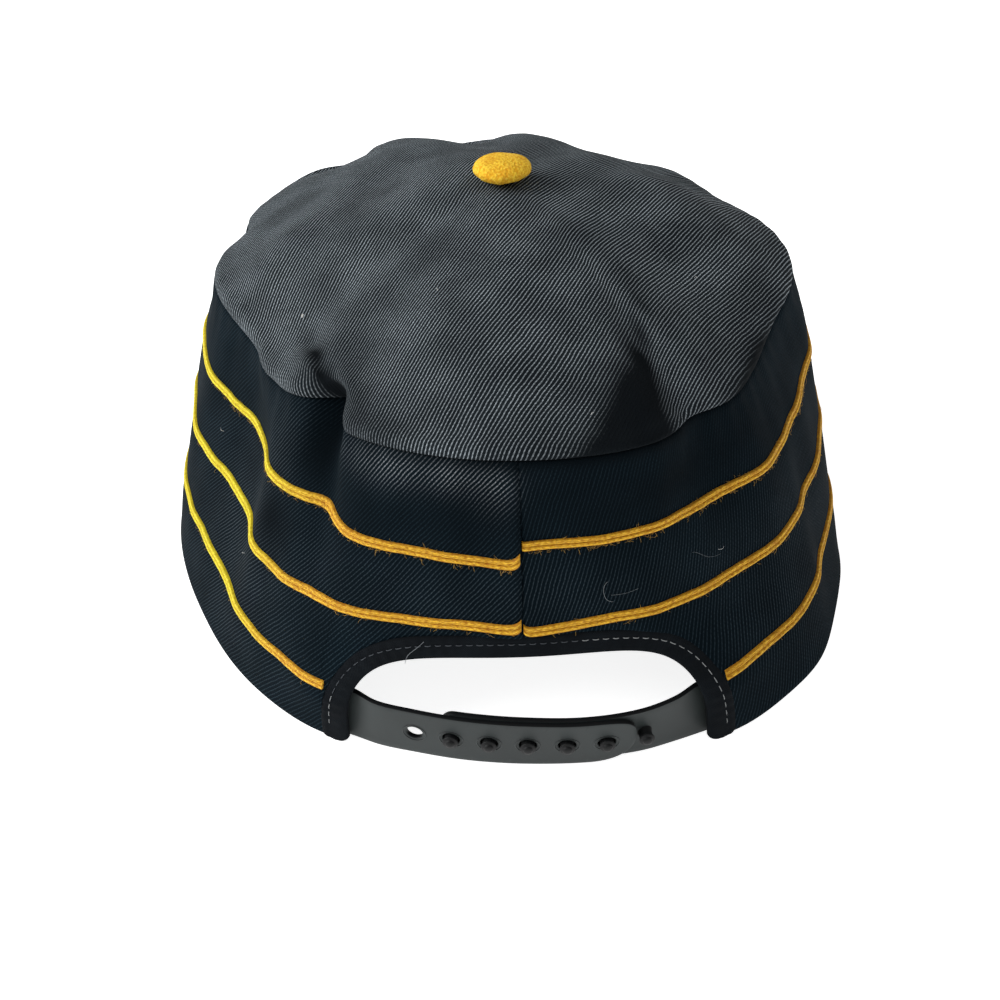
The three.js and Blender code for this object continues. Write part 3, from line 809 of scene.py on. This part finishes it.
def edge_round(distance):
    """How far a cloth's face draws back near a cut edge, to round it."""
    near = clip(1 - distance / EDGE_ROUND, 0, 1)
    return EDGE_ROUND * (1 - np.sqrt(1 - 0.98 * near**2))


def arch_angles(half, count):
    phi = linspace(0, pi / 2, count + 1)
    return half * sin(phi) ** (2 / BINDING.round)


def arch_height(at, half, high):
    share = np.minimum(abs(turn(at, 0)) / half, 1)
    return high * (1 - share ** BINDING.round) ** (1 / BINDING.round)


def wall_columns():
    """Angles of the wall's columns, close together at the back seam and over the arch."""
    half = BINDING.half - BINDING_TUCK.half
    seam = [0.0, 0.12, 0.25, 0.4, 0.6, 0.85, 1.2, 1.7, 2.4]
    arch = concatenate([seam, arch_angles(half, 36)[1:]])
    dense = linspace(half, 70, 110)[1:]
    front = linspace(70, 300, 300)[1:]
    left = linspace(300, 360 - half, 70)[1:]
    return concatenate([arch, dense, front, left, 360 - arch[::-1][1:]])


# The least gap between a braid's end and the next column, in degrees
COLUMN_GAP = 0.05
RUN_COLUMNS = wall_columns()
RUN_LENGTHS = row_lengths(wall_points(RUN_COLUMNS, BRAIDS[1].up, 0), 0)


def wall_run(at):
    """Distance round the wall from the centre back, in millimetres."""
    return np.interp(at, RUN_COLUMNS, RUN_LENGTHS)


def braid_height(braid, at):
    """Height of a braid's middle, for angles from 0 to 360, with the turns of its two ends."""
    first = np.maximum(at - braid.start, 0)
    last = np.maximum(360 - braid.start - at, 0)
    up = braid.up - braid.drop * (1 - smoothstep(at, 0, BRAID_SETTLE))
    up = up + braid.hook * clip(1 - first / BRAID_END.hook, 0, 1) ** 2
    up = up - braid.dip * bell(first / BRAID_END.dip)
    up = up + braid.tip * clip(1 - last / BRAID_END.tip, 0, 1) ** 2
    up = up - braid.step * bell(last / BRAID_END.step)
    slow = BRAID_WAVER.slow * sin(at * 0.31 + len(braid.name))
    return up + slow + BRAID_WAVER.quick * sin(at * 1.7)


def wall_relief(at, up):
    """How far the wall's face stands out at each place, in millimetres."""
    run, below = wall_run(at), WALL_HEIGHT - up
    relief = ripples(run, up, WALL_RIPPLES) * smoothstep(up, 0, 14) * smoothstep(below, 0, 10)
    relief = relief + puckers(WALL_PUCKER, run, below)
    away = abs(turn(at, 0))
    for braid in BRAIDS:
        held = smoothstep(away, braid.held, braid.held + BRAID_HOLD)
        side = (up - braid_height(braid, at)) / BRAID_PRESS.half
        relief = relief - BRAID_PRESS.deep * held * bell(side)
    relief = relief + BACK_SEAM.swell * bell(away * MM_PER_DEGREE / BACK_SEAM.wide)
    return relief - BACK_SEAM.depth * bell(away * MM_PER_DEGREE / BACK_SEAM.half)


def side_wall():
    half = BINDING.half - BINDING_TUCK.half
    high = BINDING.high - BINDING_TUCK.high
    shares = concatenate([[0, 0.004, 0.012, 0.025], linspace(0.05, 0.95, 46), [0.975, 0.988, 0.996, 1]])
    at, share = grid_of(RUN_COLUMNS, shares)
    low = arch_height(at, half, high)
    top = WALL_HEIGHT + GAP + SEAM_OVERLAP
    up = low + (top - low) * share
    edges = edge_round(up - low) + edge_round(top - up)
    outer = wall_points(at, up, wall_relief(at, up) - edges)
    inner = wall_points(at, up, -CLOTH + edges)
    points, faces = shell_arrays(outer, inner, False)
    turned = wall_run(at) / CURVED_CUT
    flat = stack([(CURVED_CUT - up) * sin(turned), CURVED_CUT - (CURVED_CUT - up) * cos(turned)], -1)
    below = WALL_HEIGHT - up
    # Marks for painted sheen on the wall's threads, and for painted shade in its folds and under the top's
    # edge.
    worn = {"worn": marks(at, below, PAINTED_SHEEN), "hollow": marks(at, below, WALL_PAINTED_SHADE)}
    piece = make_piece("side_wall_cloth", points, faces, WALL_TWILL, stack([flat, flat]), marks=worn)
    settle(piece, "wall_cloth", "side_wall")


def top_panel():
    columns = concatenate([linspace(15, 72, 130), linspace(72, 375, 390)[1:-1]])
    shares = concatenate([[0, 0.004, 0.012, 0.022, 0.034], linspace(0.05, 0.96, 58), [0.98, 0.997]])
    at, share = grid_of(columns, shares)
    base = panel_points(at, share)
    seam = raised(outward(seam_course(FOLDS + PINCHES), at), np.zeros(at.shape))
    blend = smoothstep(share, 0, 0.12)[..., None]
    normals = unit(seam * (1 - blend) + grid_normals(base) * blend)
    drop = row_lengths(base, 1)
    relief = ripples(base[..., 0], base[..., 1], PANEL_RIPPLES)
    relief = relief * smoothstep(drop, 2, 16) * smoothstep(1 - share, 0.02, 0.2)
    relief = relief + puckers(PANEL_PUCKER, radians(at) * PANEL_RADIUS, drop) * smoothstep(drop, 0, 2)
    front = smoothstep(abs(turn(at, 0)), 70, 110)
    puff = SEAM_PUFF.back + (SEAM_PUFF.front - SEAM_PUFF.back) * front
    relief = relief + puff * bell((drop - SEAM_PUFF.middle) / SEAM_PUFF.half)
    edges = edge_round(drop)
    outer = base + normals * (relief - edges)[..., None]
    inner = base - normals * (CLOTH - edges)[..., None]
    points, faces = shell_arrays(outer, inner, True)
    reach = row_lengths(base[:, ::-1], 1)[:, ::-1]
    flat = stack([reach * sin(radians(at)), reach * cos(radians(at))], -1)
    # Marks for painted shade in the top's folds and along its seam.
    worn = {"hollow": marks(at, share, PANEL_PAINTED_SHADE)}
    piece = make_piece("top_panel_cloth", points, faces, PANEL_TWILL, stack([flat, flat]), marks=worn)
    settle(piece, "panel_cloth", "top_panel")


# Braid and the arch's binding

def braid_section():
    """Outline of the braid, as pairs of across and out: a flat back and two low round cords in front."""
    back = [(-BRAID_HALF * 0.9, 0.0), (0.0, 0.0), (BRAID_HALF * 0.9, 0.0)]
    cord = BRAID_HALF / 2
    front = []
    for middle, start in ((cord, -35), (-cord, -20)):
        for angle in radians(linspace(start, start + BRAID_CORD.span, 8)):
            out = BRAID_CORD.out + BRAID_CORD.high * math.sin(angle)
            front.append((middle + cord * math.cos(angle), out))
    return array(back + front)


def braid_row(braid):
    start, name = braid.start, f"braid_{braid.name}"
    inside = (RUN_COLUMNS > start + COLUMN_GAP) & (RUN_COLUMNS < 360 - COLUMN_GAP - start)
    columns = concatenate([[start], RUN_COLUMNS[inside], [360 - start]])
    section = braid_section()
    at, across = grid_of(columns, section[:, 0])
    if braid.hook > 0:
        across = across * (1 + BRAID_END.spread * bell((at - start) / BRAID_END.wide))
    middle = braid_height(braid, at)
    out = section[:, 1] + wall_relief(at, middle) - BRAID_SINK
    points = wall_points(at, middle + across, out)
    uv = stack([wall_run(at), across], -1)
    # Painted light: a lighter, colder yellow on the side of the cap towards the key light.
    lemon = {"lemon": smoothstep(at, 30, 52) * (1 - smoothstep(at, 150, 200))}
    piece = make_piece(f"{name}_yarn", points, bar_faces(*at.shape, True), BRAID_YARN, uv, 75, lemon)
    settle(piece, "braid_yarn", name)


STITCH = Record(long=1.7, pitch=2.35, radius=0.10, row=0.65, groove=0.22, wide=0.07)
# A stitch's height over the binding along its length
STITCH_RISE = (-0.22, 0.02, 0.09, 0.09, 0.02, -0.22)
# Between these angles of the arch, round from its right foot to its left, the stitches are faint
FAINT_FROM, FAINT_TO = -0.15, 1.22
# The corners of the binding's feet are drawn up, over its lowest part
BINDING_FOOT = Record(high=1.3, over=4)
TAPE_WIDE = 5.5


def binding_outline(phi, share):
    """Angle and height of the binding at a share of the way out from the arch's edge."""
    return tuple(a + (b - a) * share for a, b in zip(rounded_edge(ARCH, phi), rounded_edge(BINDING, phi)))


def arch_binding():
    phi = linspace(-pi / 2, pi / 2, 221)
    ring = radians(arange(0, 360, 10))
    share = 0.5 + 0.5 * np.sign(cos(ring)) * abs(cos(ring)) ** 0.55
    thick = (CLOTH + BINDING.proud + BINDING.inner) / 2
    out = BINDING.proud - thick + thick * np.sign(sin(ring)) * abs(sin(ring)) ** 0.4
    phis, shares = grid_of(phi, share)
    at, up = binding_outline(phis, shares)
    corner = abs(2 * shares - 1) ** 3 * clip(1 - up / BINDING_FOOT.over, 0, 1)
    up = up + BINDING_FOOT.high * corner
    run = row_lengths(wall_points(*binding_outline(phi, 0.5), 0), 0)
    runs = np.broadcast_to(run[:, None], phis.shape)
    groove = bell((shares - STITCH.row) / STITCH.wide)
    tug = 0.14 * sin(2 * pi * runs / 2.8) + 0.10 * sin(runs / 3.1)
    tug = tug * (1 - groove) * smoothstep(shares, 0.05, 0.3) * 0.6
    relief = smoothstep(out, -0.6, 0.2) * (tug - STITCH.groove * groove)
    points = wall_points(at, up, out + relief)
    uv = stack([runs, shares * TAPE_WIDE], -1)
    piece = make_piece("arch_binding_tape", points, bar_faces(*phis.shape, False), BINDING_TAPE, uv, 70)
    settle(piece, "binding_cloth", "arch_binding")


def arch_stitches(name, faint, thread):
    parts = []
    phi = linspace(-pi / 2 + 0.02, pi / 2 - 0.02, 800)
    path = wall_points(*binding_outline(phi, STITCH.row), BINDING.proud - 0.12)
    run = row_lengths(path, 0)
    for begin in arange(0.8, run[-1] - STITCH.long, STITCH.pitch):
        angle = np.interp(begin + STITCH.long * linspace(0, 1, 6), run, phi)
        if faint == (FAINT_FROM < angle[0] < FAINT_TO):
            out = BINDING.proud - 0.10 + array(STITCH_RISE)
            parts.append(tube(wall_points(*binding_outline(angle, STITCH.row), out), STITCH.radius, 6))
    settle(make_piece(name, *join_parts(parts), thread), "binding_cloth")


# Snap strap

# How far the inner tongue's face lies behind the outer one's
BEHIND = STRAP.thick + GAP
# Rings round a hole from its raised rim in to its edge
HOLE_RIM = table(
    "radius proud",
    (3.1, 0), (2.98, 0), (2.88, 0.16), (2.72, 0.16), (2.62, 0), (2.24, -0.02), (2.1, -0.1), (2.02, -0.25),
)
HOLE_SQUASH = 0.86
# Rings between a cell's outline and its hole, as shares of the way in
CELL_RINGS = (0, 0.2, 0.4, 0.6, 0.8)
CELL_SIDE = 10
# A peg from its root in the inner tongue up to its shoulder, and the low dome on that
PEG_PROFILE = table(
    "radius high",
    (1.8, -0.6), (1.75, 0.1), (1.55, 0.35), (1.55, 2.2), (1.74, 2.35),
    (1.8, 2.5), (1.8, 2.75), (1.68, 2.9), (1.25, 2.98), (1.1, 3.1),
)
PEG_DOME = Record(radius=1.1, foot=3.15, high=0.55)
PEG_SIDES = 24
STRAP_EDGE = 0.22
HOLE_CENTRES = [FIRST_HOLE - n * PITCH for n in range(HOLES)]


def strap_points(along, z, behind):
    at = np.asarray(along, float) / MM_PER_DEGREE
    lean = radians(course("lean", along))
    out = course("out", along) - behind - (z - STRAP.low) * np.tan(lean)
    flat = rim(at) + outward(rim, at) * out[..., None]
    return raised(flat, z)


def hole_rings(outline, centre):
    """Rings of points from a cell's outline in to its hole, each with how far it stands proud."""
    angle = (arange(len(outline)) / len(outline) * 2 - 0.25) * pi
    circle = stack([cos(angle), HOLE_SQUASH * sin(angle)], -1)
    middle = [centre, STRAP.middle]
    inward = circle * HOLE_RIM[0].radius + middle - outline
    rings = [(outline + inward * share, 0.0) for share in CELL_RINGS]
    return rings + [(circle * row.radius + middle, row.proud) for row in HOLE_RIM]


def side_points(start, stop):
    """Points from one corner towards the next, which is left out."""
    return start + (array(stop) - start) * arange(CELL_SIDE)[:, None] / CELL_SIDE


def cell_outline(centre, nose):
    """Outline of the piece of strap round one hole, or of the nose with the last hole."""
    low, high = STRAP.low, STRAP.high
    left, right = centre - PITCH / 2, centre + PITCH / 2
    corners = [(right, low), (right, high), (left, high), (left, low), (right, low)]
    if not nose:
        return concatenate([side_points(*pair) for pair in zip(corners, corners[1:])])
    phi = arange(3 * CELL_SIDE) / (3 * CELL_SIDE) * pi
    power = np.where(phi < pi / 2, NOSE.upper, NOSE.lower)
    edge = np.where(phi < pi / 2, high, low)
    s = right - (right - STRAP.nose) * sin(phi) ** power
    z = NOSE.tip + (edge - NOSE.tip) * abs(cos(phi)) ** power
    return concatenate([side_points(*corners[:2]), stack([s, z], -1)])


def sheet_solid(sheets, behind):
    """Welds flat sheets of (s, z, proud) points with quads, and closes them into a strap's solid."""
    points, faces, seen = [], [], {}
    for sheet_points, sheet_faces in sheets:
        renamed = []
        for point in sheet_points:
            key = tuple(np.round(point[:2], 3))
            if key not in seen:
                seen[key] = len(points)
                points.append(point)
            renamed.append(seen[key])
        for face in sheet_faces:
            corners = [renamed[n] for n in face]
            kept = [c for k, c in enumerate(corners) if c != corners[k - 1]]
            if len(kept) > 2:
                faces.append(kept)
    s, z, proud = array(points).T
    edges = {(face[k - 1], face[k]) for face in faces for k in range(len(face))}
    count = len(points)
    closed = list(faces) + [[n + count for n in reversed(face)] for face in faces]
    closed += [[a, a + count, b + count, b] for a, b in edges if (b, a) not in edges]
    front = strap_points(s, z, behind - proud)
    return concatenate([front, strap_points(s, z, behind + STRAP.thick)]), closed


def ring_sheet(rings):
    count = len(rings[0][0])
    points = concatenate([np.column_stack([ring, np.full(count, proud)]) for ring, proud in rings])
    return points, ring_faces(len(rings), count).tolist()


def plain_sheet(start, stop, columns, shape=None):
    s, v = grid_of(linspace(start, stop, columns + 1), linspace(0, 1, 11))
    z = STRAP.low + (STRAP.high - STRAP.low) * v
    if shape is not None:
        s, z = shape(s, v)
    points = stack([s.ravel(), z.ravel(), np.zeros(s.size)], -1)
    return points, grid_faces(columns + 1, 11, False)[:, ::-1].tolist()


def soften(piece, width_mm, segments):
    """Rounds a piece's sharp edges."""
    bevel = piece.modifiers.new("soft_edges", "BEVEL")
    bevel.width = width_mm * MM
    bevel.segments = segments
    bevel.limit_method = "ANGLE"
    bevel.angle_limit = math.radians(50)
    bpy.context.view_layer.update()
    evaluated = piece.evaluated_get(bpy.context.evaluated_depsgraph_get())
    mesh = bpy.data.meshes.new_from_object(evaluated)
    piece.modifiers.clear()
    piece.data = mesh
    smooth(mesh, 60)


def hole_strap():
    sheets = [plain_sheet(HOLE_CENTRES[0] + PITCH / 2, STRAP.tuck * MM_PER_DEGREE, 26)]
    for centre in HOLE_CENTRES:
        sheets.append(ring_sheet(hole_rings(cell_outline(centre, centre == HOLE_CENTRES[-1]), centre)))
    piece = make_piece("hole_strap_moulding", *sheet_solid(sheets, 0.0), STRAP_PLASTIC)
    soften(piece, STRAP_EDGE, 2)
    settle(piece, "strap_plastic", "hole_strap")


def peg(along):
    """One moulded peg, a turned profile standing on the inner tongue."""
    spot = (array([along]), array([STRAP.middle]))
    base = strap_points(*spot, BEHIND)[0]
    axis = unit(strap_points(*spot, 0.0)[0] - base)
    side = unit(np.cross(axis, [0, 0, 1.0]))
    up = np.cross(side, axis)
    profile = [(row.radius, row.high) for row in PEG_PROFILE]
    for t in linspace(0.2, 1.45, 6):
        high = PEG_DOME.foot + PEG_DOME.high * math.sin(t)
        profile.append((PEG_DOME.radius * math.cos(t), high))
    angles = arange(PEG_SIDES) * 2 * pi / PEG_SIDES
    points = []
    for radius, high in profile:
        points += [base + axis * high + radius * (side * math.cos(a) + up * math.sin(a)) for a in angles]
    faces = ring_faces(len(profile), PEG_SIDES)[:, ::-1].tolist()
    last = len(points) - PEG_SIDES
    return array(points), faces + [list(range(PEG_SIDES)), list(range(last, last + PEG_SIDES))[::-1]]


def peg_nose(phi, v):
    half = (STRAP.high - STRAP.low) / 2 * np.maximum(cos(phi), 0) ** STRAP.peg_round
    return STRAP.peg_end + STRAP.peg_nose * sin(phi), STRAP.middle + half * (2 * v - 1)


def peg_strap():
    band = plain_sheet(-STRAP.tuck * MM_PER_DEGREE, STRAP.peg_end, 80)
    end = plain_sheet(0, pi / 2, 10, peg_nose)
    piece = make_piece("peg_strap_moulding", *sheet_solid([band, end], BEHIND), STRAP_PLASTIC)
    soften(piece, STRAP_EDGE, 2)
    settle(piece, "strap_plastic", "peg_strap")
    pegs = join_parts([peg(centre - PITCH) for centre in HOLE_CENTRES])
    settle(make_piece("strap_pegs", *pegs, SHADED_PEG_PLASTIC, None, 50), "strap_plastic")


# Button and peak

# The button's underside, as shares of its radius, and its heights
BUTTON_UNDER = ((0.45, -0.1), (0.62, 0.5), (0.80, 1.0), (0.91, 1.5), (0.975, 2.1))
BUTTON_TIP = 0.25
# Small waves of the button's outline: their share of its radius, their number and their phase
BUTTON_TUCKS = ((0.025, 9, 0.7), (0.015, 17, 0))
BUTTON_WOBBLE = 0.012


def button():
    middle, high = BUTTON.middle, BUTTON.high
    rise = linspace(0, 1, 22)[:-1] * pi / 2
    over = stack([BUTTON.radius * cos(rise) ** 0.9, middle + (high - middle) * sin(rise)], -1)
    under = array(BUTTON_UNDER) * [BUTTON.radius, 1]
    profile = concatenate([under, over, [[BUTTON_TIP, high]]])
    a, r = grid_of(radians(arange(0, 360, 5)), profile[:, 0])
    z = np.broadcast_to(profile[:, 1], a.shape)
    tucks = sum(share * sin(a * number + phase) for share, number, phase in BUTTON_TUCKS)
    r = r * (1 + tucks * bell(z / 2.6) + BUTTON_WOBBLE * sin(a * 3 + 1))
    z = z + 0.10 * sin(a * 4 + r * 0.6) * smoothstep(r, 1, 4)
    points = stack([r * sin(a), r * cos(a), z], -1) + CROWN + [0, 0, GAP]
    grid = arange(a.size).reshape(a.shape)
    faces = grid_faces(*a.shape, True).tolist() + [grid[::-1, -1].tolist(), grid[:, 0].tolist()]
    piece = make_piece("button_cover", points, faces, BUTTON_CLOTH)
    settle(piece, "button_cloth", "button")


def peak_plan(u, v):
    """The peak seen from above: `u` from side to side and `v` from the rim out to its edge."""
    at = 180 - u * (180 - PEAK.corner)
    inner = rim(at) - outward(rim, at) * PEAK.tuck
    edge = Record(half=PEAK.half, high=PEAK.front - PEAK.side, round=PEAK.round)
    outer = stack(rounded_edge(edge, u * pi / 2), -1) + [0, PEAK.side]
    return inner + (outer - inner) * v[..., None]


def peak():
    u, v = grid_of(linspace(-1, 1, 141), linspace(0, 1, 41))
    flat = peak_plan(u, v)
    tip = rim(array([180.0]))[0, 1]
    ahead = np.maximum(tip - flat[..., 1], 0) / (tip - PEAK.front)
    base = peak_arc(flat[..., 0]) - PEAK.droop * ahead**2
    points, faces = shell_arrays(raised(flat, base + PEAK.thick), raised(flat, base), False)
    away = unit(flat - [0.0, PEAK.side])
    uv = stack([flat, flat + away * PEAK.thick])
    piece = make_piece("peak_cover", points, faces[:, ::-1], PEAK_TWILL, uv)
    soften(piece, 0.9, 4)
    settle(piece, "peak_cloth", "peak")


# Loose fibres and lint

FIBRES = Record(spread=78, clear=0.6, radius=0.034)
# Specks of lint that the cloth has caught, on the top and on the wall
PANEL_LINT = table(
    "at share long thick",
    (57.8, 0.30, 0.8, 0.34),
    (350, 0.22, 0.8, 0.05),
    (20, 0.55, 0.8, 0.05),
    (300, 0.40, 0.8, 0.05),
)
WALL_LINT = table(
    "at up long thick",
    (48, 30, 1.2, 0.035),
    (70, 44, 1.2, 0.035),
    (331, 43, 1.4, 0.035),
)
# Loose threads that lie on the wall, from one spot to another, bowed sideways and clear of the cloth
LOOSE_THREADS = table(
    "at up to_at to_up bow thick out",
    (349.4, 43.4, 348.8, 38.6, 0.9, 0.05, 0.5),
    (349.0, 40.2, 343.2, 40.9, -0.5, 0.028, 0.5),
    (336.2, 44.8, 330.6, 41.6, 0.8, 0.028, 0.5),
    (14.6, 25.4, 12.2, 31.2, 0.5, 0.06, 0.75),
)


def fibre(rng, start, normal, long, radius, rise):
    """One loose fibre: a short curl that leaves the cloth and comes back towards it."""
    side = rng.normal(size=3)
    side = unit(side - normal * side.dot(normal))
    bend = np.cross(normal, side) * rng.uniform(-0.7, 0.7)
    t = linspace(0, 1, 5)[:, None]
    path = start + side * long * t + bend * long * t**2 + normal * (rise * sin(pi * t * 0.85))
    return tube(path, radius * array([1, 1, 0.9, 0.8, 0.5]), 4, normal)


def surface_spot(at, up, out):
    at = array([at])
    here = wall_points(at, up, out)[0]
    return here, unit(wall_points(at, up, out + 1.0)[0] - here)


def braid_fuzz():
    rng = np.random.default_rng(7)
    parts = []
    for braid in BRAIDS:
        for _ in range(braid.fuzz):
            at = rng.uniform(-FIBRES.spread, FIBRES.spread)
            if abs(at) < braid.start + FIBRES.clear:
                continue
            at = at % 360
            edge = rng.choice([-1, -1, -1, 1]) * rng.uniform(0.9, 1.5)
            up = float(braid_height(braid, at)) + edge
            spot, normal = surface_spot(at, up, float(wall_relief(at, up)) + rng.uniform(0.1, 0.5))
            long, rise = rng.uniform(0.4, 1.6), rng.uniform(0.1, 0.6)
            parts.append(fibre(rng, spot, normal, long, FIBRES.radius, rise))
    settle(make_piece("braid_fuzz", *join_parts(parts), FUZZ), "braid_yarn")


def loose_threads():
    parts = []
    for row in LOOSE_THREADS:
        t = linspace(0, 1, 13)
        at = row.at + (row.to_at - row.at) * t + row.bow * sin(pi * t)
        up = row.up + (row.to_up - row.up) * t + 0.5 * row.bow * sin(2 * pi * t)
        parts.append(tube(wall_points(at, up, row.out + 0.25 * sin(pi * t)), row.thick, 5))
    settle(make_piece("loose_threads", *join_parts(parts), LOOSE_THREAD), "wall_cloth")


def lint():
    rng = np.random.default_rng(11)
    parts = []
    for row in PANEL_LINT:
        at, share = array([row.at], float), array([row.share])
        spot = panel_points(at, share)[0]
        across = panel_points(at + 0.5, share)[0] - spot
        along = panel_points(at, share + 0.01)[0] - spot
        normal = unit(np.cross(along, across))
        parts.append(fibre(rng, spot + normal * 0.7, normal, row.long, row.thick, 0.3))
    for row in WALL_LINT:
        spot, normal = surface_spot(row.at, row.up, 0.7)
        parts.append(fibre(rng, spot, normal, row.long, row.thick, 0.5))
    settle(make_piece("lint_specks", *join_parts(parts), LINT), "wall_cloth")


side_wall()
top_panel()
for row in BRAIDS:
    braid_row(row)
arch_binding()
arch_stitches("arch_stitches", False, STITCH_THREAD)
arch_stitches("faint_stitches", True, FAINT_THREAD)
hole_strap()
peg_strap()
button()
peak()
braid_fuzz()
lint()
loose_threads()


# Stage, light and camera

FLOOR_SIZE = 40.0
# The floor lies just below the cap's lowest point, and glows a little, as a light table does
FLOOR_DROP = 0.0002
FLOOR_GLOW = 0.85
WORLD_LIGHT = 0.33
# Lights by the direction they come from, their strength and how wide they look, in degrees
SUNS = table(
    "name source strength spread",
    ("key", (0.85, 0.0, 0.58), 3.15, 45),
    ("fill", (-0.3, 0.6, 0.7), 0.35, 60),
)
# The camera as fitted to the photograph, in the cap's own millimetres
CAMERA = Record(place=(2.95, 332.8, 238.5), down=36.16, turn=0.14, roll=2.25, focal=1.4)
SENSOR = 36.0


def floor():
    mesh = bpy.data.meshes.new("floor")
    corners = [(x * FLOOR_SIZE, y * FLOOR_SIZE, 0) for x, y in ((-1, -1), (1, -1), (1, 1), (-1, 1))]
    mesh.from_pydata(corners, [], [(0, 1, 2, 3)])
    glow = {"Emission_Color": (1, 1, 1, 1), "Emission_Strength": FLOOR_GLOW}
    mesh.materials.append(Nodes("floor_paint").finish(rgb(242, 242, 242), 0.9, 0.0, **glow))
    piece = link("floor", mesh)
    piece.location.z = -FLOOR_DROP


def sun_light(name, source, strength, spread):
    light = bpy.data.lights.new(name, "SUN")
    light.energy = strength
    light.angle = math.radians(spread)
    link(name, light).rotation_euler = (-Vector(source)).to_track_quat("-Z", "Y").to_euler()


def world_light():
    world = bpy.data.worlds.new("studio")
    world.use_nodes = True
    background = world.node_tree.nodes["Background"]
    background.inputs["Color"].default_value = (1, 1, 1, 1)
    background.inputs["Strength"].default_value = WORLD_LIGHT
    bpy.context.scene.world = world


def camera():
    down, side, roll = map(math.radians, (CAMERA.down, CAMERA.turn, CAMERA.roll))
    view = array([math.sin(side) * math.cos(down), -math.cos(side) * math.cos(down), -math.sin(down)])
    right = unit(np.cross(view, [0, 0, 1.0]))
    up = np.cross(right, view)
    columns = np.column_stack([
        right * math.cos(roll) - up * math.sin(roll),
        right * math.sin(roll) + up * math.cos(roll),
        -view,
        (array(CAMERA.place) + OFFSET) * MM,
    ])
    data = bpy.data.cameras.new("camera")
    data.sensor_width = SENSOR
    data.lens = CAMERA.focal * SENSOR
    data.clip_start = 0.01
    item = link("camera", data)
    item.matrix_world = Matrix([*columns, (0, 0, 0, 1)])
    bpy.context.scene.camera = item


floor()
world_light()
for row in SUNS:
    sun_light(**vars(row))
bpy.context.scene.view_settings.view_transform = "Standard"
camera()
